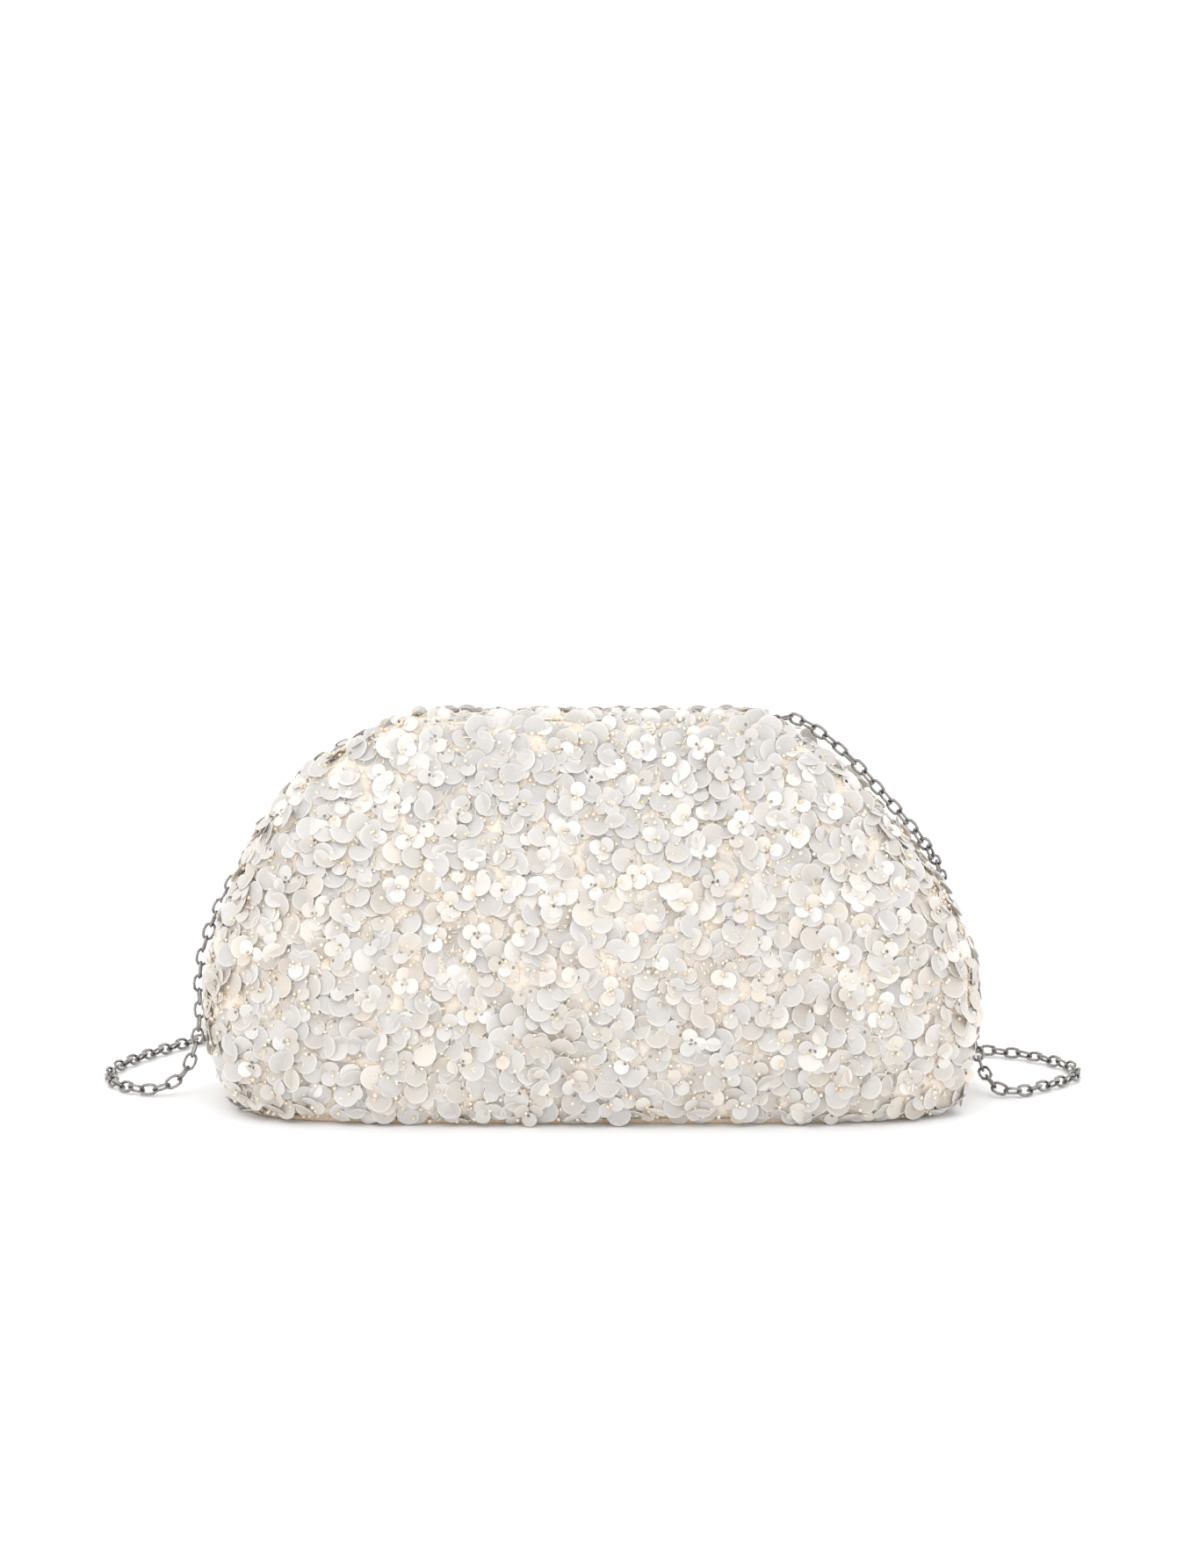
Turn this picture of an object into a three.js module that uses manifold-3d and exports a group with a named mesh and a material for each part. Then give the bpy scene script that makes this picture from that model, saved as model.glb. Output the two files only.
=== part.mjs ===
// Evening bag: a soft half-moon clutch with a sequinned cover over foam and satin, a hinged pair of
// steel hoops in its mouth held shut by two bar magnets, and a cable-chain strap on two rings.
// Millimetres, +Z up, front towards -Y. Origin: centre of the flat base, on the surface it stands on.
import * as THREE from 'three';
import { mergeVertices } from 'three/addons/utils/BufferGeometryUtils.js';
import Module from 'manifold-3d';

const wasm = await Module();
wasm.setup();

// ---------------------------------------------------------------- driving dimensions (mm)
const HEIGHT = 130;
const HALF_WIDTH = 126;
const HALF_DEPTH = 42;
const LEAN = 5.5; // how far the soft top has settled towards -X
const GAP = 0.3; // between pieces that touch

const COVER = 3; // sequinned cover, cloth and sequins together
const FOAM = 2;
const LINING = 0.8;
const BOARD = 2; // base board
const BASE_INSET = 4; // from the cover's outer face to the base panel's seam
const BASE_SEAM = 0.6; // width of that seam
const SEAM = 0.25; // half of the slit where the front and back halves meet

const HOOP_THICK = 1.6;
const HOOP_WIDTH = 3.9;
const HOOP_CLEAR = 1.2; // from the cover's inner face to the hoop
const FACING = 0.5; // satin facing on the mouth's inner side
const FACING_DEPTH = 12;
const FACING_CLEAR = 1; // from the cover's inner face to the facing's edge
const MAGNET = { length: 56, height: 8, thick: 1.5 };

const MOUTH_HEIGHT = 36; // from the hinge to the top
const RIVET_RADIUS = 1.25;
const RIVET_RUNNING = 0.05; // radial clearance in the ears
const RIVET_HEAD_RADIUS = 2.4;
const RIVET_HEAD = 0.8;

// How far above (+) or below (-) the hinge the pieces around it end. The front half that swings
// passes inside the half that stays, so the inner layers end lower.
const LIP_FROM_HINGE = 0.6;
const LOWER_FROM_HINGE = -6.5;
const FOAM_FROM_HINGE = -10;
const LINING_FROM_HINGE = -12;
const MAGNET_ROOM = 18; // the upper lining ends this far below the top

const POCKET = { halfWidth: 45, low: 26, below: 16, thick: 0.8 };

const LUG = { x: 44, below: 5.8, thick: 0.9, height: 3.6, flange: 6, flangeThick: 0.8, wall: 0.6 };
const RING_RADIUS = 2.25; // to the middle of the wire
const RING_WIRE = 0.45;
const RING_LIFT = 1.25; // from the cover to the middle of the wire, straight back
const RING_PLAY = 0.35; // around the wire in the lug's hole

const CHAIN_RADIUS = 2;
const CHAIN_STEPS = 84;

// ---------------------------------------------------------------- outline of the soft body
// Half width as a share of HALF_WIDTH, against the height as a share of HEIGHT.
const WIDTH_PROFILE = [
  [0.889, 0], [0.958, 0.055], [1, 0.27], [0.957, 0.46], [0.873, 0.615], [0.798, 0.723],
  [0.688, 0.846], [0.603, 0.908], [0.51, 0.954], [0.413, 1],
];
// Half depth between the mouth's (0) and HALF_DEPTH (1), against the share of HEIGHT.
const DEPTH_PROFILE = [
  [0.82, 0], [0.95, 0.05], [1, 0.19], [0.938, 0.385], [0.765, 0.577], [0.518, 0.723],
  [0.37, 0.792], [0.235, 0.862], [0.135, 0.923], [0.065, 0.97], [0, 1],
];
// Share of LEAN, against the share of HEIGHT.
const LEAN_PROFILE = [
  [0, 0], [0.1, 0.3], [0.4, 0.53], [0.75, 0.65], [1, 0.77], [0.95, 0.87], [0.665, 0.9554], [0.45, 1],
];
const SQUARE_BASE = 4.5; // how boxy the plan section is: 2 is an ellipse
const SQUARE_BELLY = 3.6;
const SQUARE_MOUTH = 6;
const AROUND = 36; // facets around the body
const LEVELS = 13; // and up it

// Values that follow from the ones above.
const HINGE_HEIGHT = HEIGHT - MOUTH_HEIGHT;
const LIP_BOTTOM = HINGE_HEIGHT + LIP_FROM_HINGE;
const LOWER_TOP = HINGE_HEIGHT + LOWER_FROM_HINGE;
const FOAM_TOP = HINGE_HEIGHT + FOAM_FROM_HINGE;
const LINING_TOP = HINGE_HEIGHT + LINING_FROM_HINGE;
const UPPER_LINING_TOP = HEIGHT - MAGNET_ROOM;
const HOOP_INSET = COVER + HOOP_CLEAR;
const HOOP_FRONT = SEAM + FACING + GAP; // distance of a hoop from the middle plane
const HOOP_BACK = HOOP_FRONT + HOOP_WIDTH;
const MOUTH_HALF = HOOP_BACK + COVER + 0.05;
const EAR_RADIUS = HOOP_BACK;
const LEG_TOP = HINGE_HEIGHT + EAR_RADIUS + 2 * GAP;
const JOG_TOP = LEG_TOP + 4;
const FOAM_IN = COVER + GAP;
const LINING_IN = FOAM_IN + FOAM + GAP;
const FLOOR_BOARD = COVER + GAP;
const FLOOR_LINING = FLOOR_BOARD + BOARD + GAP;
const FAR = 400;

// ---------------------------------------------------------------- small helpers
function solid(geometry) {
  const bare = geometry.clone();
  bare.deleteAttribute('normal');
  bare.deleteAttribute('uv');
  const merged = mergeVertices(bare, 1e-4);
  return new wasm.Manifold(new wasm.Mesh({
    numProp: 3,
    vertProperties: new Float32Array(merged.attributes.position.array),
    triVerts: new Uint32Array(merged.index.array),
  }));
}

function geometryOf(body) {
  const mesh = body.getMesh();
  const geometry = new THREE.BufferGeometry();
  geometry.setAttribute('position', new THREE.BufferAttribute(new Float32Array(mesh.vertProperties), 3));
  geometry.setIndex(new THREE.BufferAttribute(new Uint32Array(mesh.triVerts), 1));
  geometry.computeVertexNormals();
  return geometry;
}

function block(x0, x1, y0, y1, z0, z1) {
  const geometry = new THREE.BoxGeometry(x1 - x0, y1 - y0, z1 - z0);
  geometry.translate((x0 + x1) / 2, (y0 + y1) / 2, (z0 + z1) / 2);
  return solid(geometry);
}

// Everything between two heights, in front of (-1) or behind (+1) the middle plane.
function half(side, from, z0, z1) {
  return side > 0 ? block(-FAR, FAR, from, FAR, z0, z1) : block(-FAR, FAR, -FAR, -from, z0, z1);
}

// A round bar along X.
function barAlongX(radius, x0, x1, y, z, sides = 16) {
  const geometry = new THREE.CylinderGeometry(radius, radius, x1 - x0, sides);
  geometry.rotateZ(Math.PI / 2);
  geometry.translate((x0 + x1) / 2, y, z);
  return solid(geometry);
}

// ---------------------------------------------------------------- the soft body's form
function sampled(profile, low, high) {
  const points = profile.map(([u, v]) => new THREE.Vector2(low + (high - low) * u, HEIGHT * v));
  return new THREE.SplineCurve(points).getPoints(240);
}
const widthLine = sampled(WIDTH_PROFILE, 0, HALF_WIDTH);
const depthLine = sampled(DEPTH_PROFILE, MOUTH_HALF, HALF_DEPTH);
const leanLine = sampled(LEAN_PROFILE, 0, LEAN);

// The line moved inwards, at right angles to itself.
function inset(line, distance) {
  return line.map((point, i) => {
    const before = line[Math.max(i - 1, 0)];
    const after = line[Math.min(i + 1, line.length - 1)];
    const along = after.clone().sub(before).normalize();
    return new THREE.Vector2(point.x - along.y * distance, point.y + along.x * distance);
  });
}

function across(line, z) {
  let i = 1;
  while (i < line.length - 1 && line[i].y < z) i += 1;
  const share = THREE.MathUtils.clamp((z - line[i - 1].y) / (line[i].y - line[i - 1].y), 0, 1);
  return THREE.MathUtils.lerp(line[i - 1].x, line[i].x, share);
}

function leanAt(z) {
  return -across(leanLine, z);
}

function squareness(z) {
  const belly = THREE.MathUtils.smoothstep(z, 0, HEIGHT * 0.5);
  const mouth = THREE.MathUtils.smoothstep(z, HEIGHT * 0.62, HEIGHT * 0.9);
  const low = THREE.MathUtils.lerp(SQUARE_BASE, SQUARE_BELLY, belly);
  return THREE.MathUtils.lerp(low, SQUARE_MOUTH, mouth);
}

// The closed form a given distance inside the cover's outer face.
function form(distance) {
  const width = inset(widthLine, distance);
  const depth = inset(depthLine, distance);
  const bottom = distance;
  const top = HEIGHT - distance;
  const geometry = new THREE.CylinderGeometry(1, 1, 1, AROUND, LEVELS);
  geometry.rotateX(Math.PI / 2);
  const place = geometry.attributes.position;
  for (let i = 0; i < place.count; i += 1) {
    const up = (1 - Math.cos(Math.PI * (place.getZ(i) + 0.5))) / 2;
    const z = THREE.MathUtils.lerp(bottom, top, up);
    const power = 2 / squareness(z);
    const x = place.getX(i);
    const y = place.getY(i);
    const wide = Math.sign(x) * Math.abs(x) ** power * (Math.abs(x) < 1e-6 ? 0 : 1);
    const deep = Math.sign(y) * Math.abs(y) ** power * (Math.abs(y) < 1e-6 ? 0 : 1);
    place.setXYZ(i, wide * across(width, z) + leanAt(z), deep * across(depth, z), z);
  }
  return solid(geometry);
}

// A wall of the form between two depths, open at the bottom and the top.
function wall(outer, thick) {
  return form(outer).subtract(form(outer + thick));
}

// ---------------------------------------------------------------- sequinned cover
const coverWall = wall(0, COVER);

// The base panel's outline, straight down to the surface.
function baseOutline(inward) {
  const steps = 48;
  const width = across(inset(widthLine, inward), inward);
  const depth = across(inset(depthLine, inward), inward);
  const points = [];
  for (let i = 0; i < steps; i += 1) {
    const angle = (2 * Math.PI * i) / steps;
    const power = 2 / SQUARE_BASE;
    const c = Math.cos(angle);
    const s = Math.sin(angle);
    points.push(new THREE.Vector2(
      Math.sign(c) * Math.abs(c) ** power * width,
      Math.sign(s) * Math.abs(s) ** power * depth,
    ));
  }
  return points;
}

function slab(inward, z0, z1) {
  const geometry = new THREE.ExtrudeGeometry(new THREE.Shape(baseOutline(inward)), {
    depth: z1 - z0, bevelEnabled: false, steps: 1,
  });
  geometry.translate(0, 0, z0);
  return solid(geometry);
}

function baseCover() {
  return slab(BASE_INSET + BASE_SEAM, 0, COVER);
}

function sideCover(side, z0, z1) {
  return coverWall.intersect(half(side, SEAM, z0, z1)).subtract(slab(BASE_INSET, -1, FLOOR_BOARD));
}

function backCover() {
  return lugSlots().reduce((body, slot) => body.subtract(slot), sideCover(1, 0, HEIGHT));
}

// ---------------------------------------------------------------- foam, base board and lining
function foamPanel(side) {
  return wall(FOAM_IN, FOAM).intersect(half(side, SEAM, FLOOR_LINING, FOAM_TOP));
}

function baseBoard() {
  return slab(BASE_INSET + BASE_SEAM, FLOOR_BOARD, FLOOR_BOARD + BOARD);
}

function baseLining() {
  return slab(LINING_IN + LINING + BASE_SEAM, FLOOR_LINING, FLOOR_LINING + LINING);
}

function liningPanel(side, top) {
  const floor = slab(LINING_IN + LINING, 0, FLOOR_LINING + LINING + GAP);
  const panel = wall(LINING_IN, LINING).intersect(half(side, SEAM, FLOOR_LINING, top));
  return panel.subtract(floor).subtract(hoopRoom(side));
}

function frontLiningUpper() {
  const clearOfHoop = half(-1, HOOP_BACK + GAP, LIP_BOTTOM + GAP, UPPER_LINING_TOP);
  return wall(FOAM_IN, LINING).intersect(clearOfHoop);
}

function slipPocket() {
  const { halfWidth, low, below, thick } = POCKET;
  const high = HINGE_HEIGHT - below;
  const panel = wall(LINING_IN + LINING + GAP, thick);
  return panel.intersect(block(-halfWidth, halfWidth, SEAM, FAR, low, high));
}

// ---------------------------------------------------------------- hoops in the mouth
// The mouth's outline on one side (+1 or -1), a distance inside the cover's face, above a height.
function mouthSide(side, distance, above) {
  const line = inset(widthLine, distance).filter((point) => point.y > above);
  const start = new THREE.Vector2(across(inset(widthLine, distance), above), above);
  const kept = [start, ...line.filter((point, i) => i % 6 === 3 || i === line.length - 1)];
  return kept.map((point) => new THREE.Vector2(side * point.x + leanAt(point.y), point.y));
}

// The same line over the top, from the right leg to the left one.
function mouthLine(distance, above) {
  return [...mouthSide(1, distance, above), ...mouthSide(-1, distance, above).reverse()];
}

// A flat band standing across the mouth's outline, cut from a closed outline in X and Z.
function bandAlongY(points, y0, y1) {
  const geometry = new THREE.ExtrudeGeometry(new THREE.Shape(points), {
    depth: y1 - y0, bevelEnabled: false, steps: 1,
  });
  geometry.rotateX(Math.PI / 2);
  geometry.translate(0, y1, 0);
  return solid(geometry);
}

// Where a leg's inner face stands, on one side.
function legFace(side) {
  const line = inset(widthLine, HOOP_INSET + HOOP_THICK);
  return side * across(line, LEG_TOP) + leanAt(LEG_TOP);
}

// Front and back legs lie side by side at the hinge: the front ones are the inner ones.
function legInner(side, front) {
  const step = front ? HOOP_THICK + GAP : 0;
  return legFace(side) - side * step;
}

function hoop(front) {
  const above = front ? JOG_TOP : LEG_TOP + 1;
  const outer = mouthLine(HOOP_INSET, above);
  const inner = mouthLine(HOOP_INSET + HOOP_THICK, above).reverse();
  const leg = (side, off, z) => new THREE.Vector2(legInner(side, front) + side * off, z);
  const points = [
    leg(1, HOOP_THICK, HINGE_HEIGHT), leg(1, HOOP_THICK, LEG_TOP), ...outer,
    leg(-1, HOOP_THICK, LEG_TOP), leg(-1, HOOP_THICK, HINGE_HEIGHT),
    leg(-1, 0, HINGE_HEIGHT), leg(-1, 0, LEG_TOP), ...inner,
    leg(1, 0, LEG_TOP), leg(1, 0, HINGE_HEIGHT),
  ];
  const band = front
    ? bandAlongY(points, -HOOP_BACK, -HOOP_FRONT) : bandAlongY(points, HOOP_FRONT, HOOP_BACK);
  return [1, -1].reduce((body, side) => {
    const x = [legInner(side, front), legInner(side, front) + side * HOOP_THICK].sort((a, b) => a - b);
    const ear = barAlongX(EAR_RADIUS, x[0], x[1], 0, HINGE_HEIGHT, 24);
    const hole = barAlongX(RIVET_RADIUS + RIVET_RUNNING, x[0] - 1, x[1] + 1, 0, HINGE_HEIGHT);
    return body.add(ear).subtract(hole);
  }, band);
}

// Room around the hoop and its ears that the lining leaves free.
function hoopRoom(side) {
  const outer = mouthLine(COVER, LINING_TOP);
  const inner = mouthLine(HOOP_INSET + 2 * HOOP_THICK + 2 * GAP + RIVET_HEAD + 1, LINING_TOP).reverse();
  const reach = HOOP_BACK + GAP;
  return bandAlongY([...outer, ...inner], side > 0 ? 0 : -reach, side > 0 ? reach : 0);
}

function facing(front) {
  const outer = mouthLine(COVER + FACING_CLEAR, LEG_TOP + GAP);
  const inner = mouthLine(COVER + FACING_CLEAR + FACING_DEPTH, LEG_TOP + GAP).reverse();
  return front
    ? bandAlongY([...outer, ...inner], -SEAM - FACING, -SEAM)
    : bandAlongY([...outer, ...inner], SEAM, SEAM + FACING);
}

function magnet(front) {
  const high = HEIGHT - HOOP_INSET - HOOP_THICK - GAP;
  const near = front ? -HOOP_FRONT - MAGNET.thick : HOOP_FRONT;
  const x = leanAt(high);
  const reach = MAGNET.length / 2;
  return block(x - reach, x + reach, near, near + MAGNET.thick, high - MAGNET.height, high);
}

function rivet(side) {
  const ends = [legInner(side, true), legFace(side) + side * HOOP_THICK].sort((a, b) => a - b);
  const [x0, x1] = [ends[0] - GAP, ends[1] + GAP];
  return barAlongX(RIVET_RADIUS, x0, x1, 0, HINGE_HEIGHT)
    .add(barAlongX(RIVET_HEAD_RADIUS, x0 - RIVET_HEAD, x0, 0, HINGE_HEIGHT))
    .add(barAlongX(RIVET_HEAD_RADIUS, x1, x1 + RIVET_HEAD, 0, HINGE_HEIGHT));
}

// ---------------------------------------------------------------- lugs and rings of the strap
const lugHeight = HEIGHT - LUG.below;
const lugFace = across(depthLine, lugHeight);
const holeY = lugFace + RING_LIFT;
const lugX = (side) => side * LUG.x + leanAt(lugHeight);

function lug(side) {
  const x = lugX(side);
  const holeRadius = RING_WIRE + RING_PLAY;
  const tip = holeY + holeRadius + LUG.wall;
  const root = HOOP_BACK + GAP;
  const [low, high] = [lugHeight - LUG.height / 2, lugHeight + LUG.height / 2];
  const plate = block(x - LUG.thick / 2, x + LUG.thick / 2, root, tip, low, high);
  const flange = block(x - LUG.flange / 2, x + LUG.flange / 2, root, root + LUG.flangeThick, low + GAP, high - GAP);
  const hole = barAlongX(holeRadius, x - LUG.thick, x + LUG.thick, holeY, lugHeight, 16);
  return plate.add(flange).subtract(hole);
}

function lugSlots() {
  return [1, -1].map((side) => {
    const x = lugX(side);
    const [wide, tall] = [LUG.thick / 2 + GAP, LUG.height / 2 + GAP];
    return block(x - wide, x + wide, HOOP_BACK, FAR, lugHeight - tall, lugHeight + tall);
  });
}

// The slope of the back just below the lug, on which the ring lies.
function ringDirection() {
  const lower = lugHeight - 2 * RING_RADIUS;
  return new THREE.Vector3(0, across(depthLine, lower) - lugFace, lower - lugHeight).normalize();
}

function ring(side) {
  const geometry = new THREE.TorusGeometry(RING_RADIUS, RING_WIRE, 8, 20);
  const down = ringDirection();
  const along = new THREE.Vector3(1, 0, 0);
  const through = along.clone().cross(down);
  geometry.applyMatrix4(new THREE.Matrix4().makeBasis(along, down, through));
  const middle = down.multiplyScalar(RING_RADIUS).add(new THREE.Vector3(lugX(side), holeY, lugHeight));
  geometry.translate(middle.x, middle.y, middle.z);
  return solid(geometry);
}

// ---------------------------------------------------------------- strap
// From the right ring over the right shoulder, down the side to the surface, round a loose loop,
// behind the bag in two slack bends, round the left loop and up the left side to the left ring.
const CHAIN_ROUTE = [
  [43.9, 14.6, 121.2], [50, 15, 120.8], [57, 13.8, 121.8], [63, 10.2, 124.2], [68.6, 6.8, 122.9],
  [75.8, 4.6, 118.2], [85, 4, 109.9], [92.1, 3.8, 101.9], [99.3, 4.2, 93.6], [105.1, 6, 86.4],
  [110.5, 11.8, 78.2], [113.9, 19.2, 69.5], [115, 25.2, 60.5], [115.9, 29.2, 50.5],
  [118, 30.6, 40.5], [121, 29.5, 30.5], [124.1, 24.8, 21.2], [126, 16.5, 13], [128, 7.5, 6.8],
  [132.5, 0.6, 2.9], [139.5, 0.4, 2.2], [146.5, 6, 2.2], [153.5, 12.5, 2.2], [159, 20.5, 2.2],
  [159.5, 30, 2.2], [154, 39.5, 2.2], [146, 48, 2.2], [136, 53.5, 2.2], [125, 58, 2.2],
  [114, 66.5, 2.2], [109.5, 82, 2.2], [105, 99, 2.2], [91, 108.5, 2.2], [77, 101, 2.2],
  [71.5, 84, 2.2], [62, 69, 2.2], [47, 63, 2.2], [35, 75, 2.2], [34, 95, 2.2], [24, 113, 2.2],
  [7, 120, 2.2], [-8, 110, 2.2], [-7, 91, 2.2], [-13, 72, 2.2], [-29, 61, 2.2], [-43, 71, 2.2],
  [-42, 90, 2.2], [-49, 108, 2.2], [-65, 116, 2.2], [-80, 106, 2.2], [-84, 88, 2.2],
  [-93, 75, 2.2], [-106, 74.5, 2.2], [-118, 78, 2.2], [-129, 74.5, 2.2], [-138, 65.5, 2.2],
  [-146.5, 54, 2.2], [-154, 42, 2.2], [-159.3, 29, 2.2], [-159, 15.5, 2.2], [-152, 5, 2.2],
  [-142.5, 1.8, 2.6], [-134.8, 4.4, 6.4], [-130.6, 7.5, 15], [-129, 9.5, 26],
  [-129.1, 11.5, 36], [-127.8, 15, 46.5], [-123.8, 18.5, 57.5], [-118, 21, 68.5],
  [-110.5, 22, 79.5], [-103.9, 21, 90.5], [-97.5, 19.6, 100], [-91.2, 18.1, 106.8],
  [-85, 17, 111.4], [-78.8, 16.2, 114.9], [-72.3, 15.7, 117.5], [-65.4, 15.4, 119.6],
  [-58, 15.1, 120.7], [-51.1, 14.6, 121.2],
];

function strap() {
  const path = new THREE.CatmullRomCurve3(CHAIN_ROUTE.map((point) => new THREE.Vector3(...point)));
  path.arcLengthDivisions = 600;
  const section = new THREE.Shape();
  section.absarc(0, 0, CHAIN_RADIUS, 0, 2 * Math.PI);
  const outline = new THREE.Shape(section.getPoints(8).slice(0, 8));
  return solid(new THREE.ExtrudeGeometry(outline, { steps: CHAIN_STEPS, extrudePath: path }));
}

// ---------------------------------------------------------------- materials and assembly
const finish = (color, roughness, metalness = 0) => new THREE.MeshStandardMaterial({ color, roughness, metalness });
const sequins = finish(0xe8e4dd, 0.35);
const satin = finish(0xe2d3bd, 0.5);
const foam = finish(0xeee6d8, 0.9);
const board = finish(0xb79f80, 0.8);
const steel = finish(0x9a9894, 0.35, 1);
const magnetSteel = finish(0x6d6c6a, 0.45, 1);

const bag = new THREE.Group();
bag.name = 'evening_bag';

function place(name, body, material) {
  const mesh = new THREE.Mesh(geometryOf(body), material);
  mesh.name = name;
  bag.add(mesh);
}

place('back_cover', backCover(), sequins);
place('front_cover_lower', sideCover(-1, 0, LOWER_TOP), sequins);
place('front_cover_upper', sideCover(-1, LIP_BOTTOM, HEIGHT), sequins);
place('base_cover', baseCover(), sequins);
place('base_board', baseBoard(), board);
place('back_padding', foamPanel(1), foam);
place('front_padding', foamPanel(-1), foam);
place('base_lining', baseLining(), satin);
place('back_lining', liningPanel(1, UPPER_LINING_TOP), satin);
place('front_lining_lower', liningPanel(-1, LINING_TOP), satin);
place('front_lining_upper', frontLiningUpper(), satin);
place('slip_pocket', slipPocket(), satin);
place('back_hoop', hoop(false), steel);
place('front_hoop', hoop(true), steel);
place('back_facing', facing(false), satin);
place('front_facing', facing(true), satin);
place('back_magnet', magnet(false), magnetSteel);
place('front_magnet', magnet(true), magnetSteel);
[['right', 1], ['left', -1]].forEach(([name, side]) => {
  place(`hinge_rivet_${name}`, rivet(side), steel);
  place(`chain_lug_${name}`, lug(side), steel);
  place(`chain_ring_${name}`, ring(side), steel);
});
place('strap_chain', strap(), steel);

export default bag;
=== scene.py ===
"""Visual model of a half-moon evening bag, sewn all over with pearl sequins.

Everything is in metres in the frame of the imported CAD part: +X to the right
seen from the front, +Y to the back, +Z up, and the origin under the middle of
the flat base.
"""
import logging
import math
from collections.abc import Callable
from dataclasses import dataclass, field
from enum import Enum

import bmesh
import bpy
import numpy as np
from mathutils import Matrix, Vector, noise


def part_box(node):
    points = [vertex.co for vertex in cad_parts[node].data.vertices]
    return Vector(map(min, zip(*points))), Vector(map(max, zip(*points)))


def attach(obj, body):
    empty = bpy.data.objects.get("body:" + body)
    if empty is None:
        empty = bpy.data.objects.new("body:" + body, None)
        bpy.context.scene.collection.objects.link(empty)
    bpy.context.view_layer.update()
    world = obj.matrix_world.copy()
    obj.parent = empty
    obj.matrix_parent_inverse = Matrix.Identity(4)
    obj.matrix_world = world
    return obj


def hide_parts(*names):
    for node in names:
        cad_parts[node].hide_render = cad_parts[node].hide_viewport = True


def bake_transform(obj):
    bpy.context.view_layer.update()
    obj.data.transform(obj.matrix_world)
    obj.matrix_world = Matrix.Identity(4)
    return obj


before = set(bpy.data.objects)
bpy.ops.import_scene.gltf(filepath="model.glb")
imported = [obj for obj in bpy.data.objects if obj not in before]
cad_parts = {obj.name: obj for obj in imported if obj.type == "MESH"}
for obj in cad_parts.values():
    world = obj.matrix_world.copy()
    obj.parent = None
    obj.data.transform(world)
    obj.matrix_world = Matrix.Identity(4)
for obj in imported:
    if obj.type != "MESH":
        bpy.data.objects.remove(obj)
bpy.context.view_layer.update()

log = logging.getLogger("evening_bag")

MM = 0.001
BAG = "bag"
MOUTH = "mouth_front"


class Side(Enum):
    """Which half of the bag a piece belongs to, as the sign of its Y."""

    FRONT = -1
    BACK = 1

    @property
    def word(self) -> str:
        """The side's name in a piece's name."""
        return self.name.lower()


# ---------------------------------------------------------------- materials


def linear(colour: str, alpha: float = 1.0) -> tuple[float, float, float, float]:
    """Turns an sRGB hex colour to linear.

    Args:
        colour: Six hex digits after a hash.
        alpha: Opacity.

    Returns:
        Red, green, blue and alpha, linear.
    """
    parts = [int(colour[i : i + 2], 16) / 255 for i in (1, 3, 5)]
    low = [c / 12.92 if c <= 0.04045 else ((c + 0.055) / 1.055) ** 2.4 for c in parts]
    return (low[0], low[1], low[2], alpha)


def add_node(tree: bpy.types.NodeTree, kind: str, settings: dict | None = None,
             links: dict | None = None) -> bpy.types.Node:
    """Adds a node with its settings and its incoming links.

    Args:
        tree: Node tree of the material.
        kind: Node type, such as "ShaderNodeMix".
        settings: Property values by name, or socket values by socket name or number.
        links: Source sockets by the name or number of the socket that they feed.

    Returns:
        The new node.
    """
    node = tree.nodes.new(kind)
    for name, value in (settings or {}).items():
        if isinstance(name, str) and hasattr(node, name):
            setattr(node, name, value)
        else:
            node.inputs[name].default_value = value
    for name, source in (links or {}).items():
        tree.links.new(source, node.inputs[name])
    return node


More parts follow.
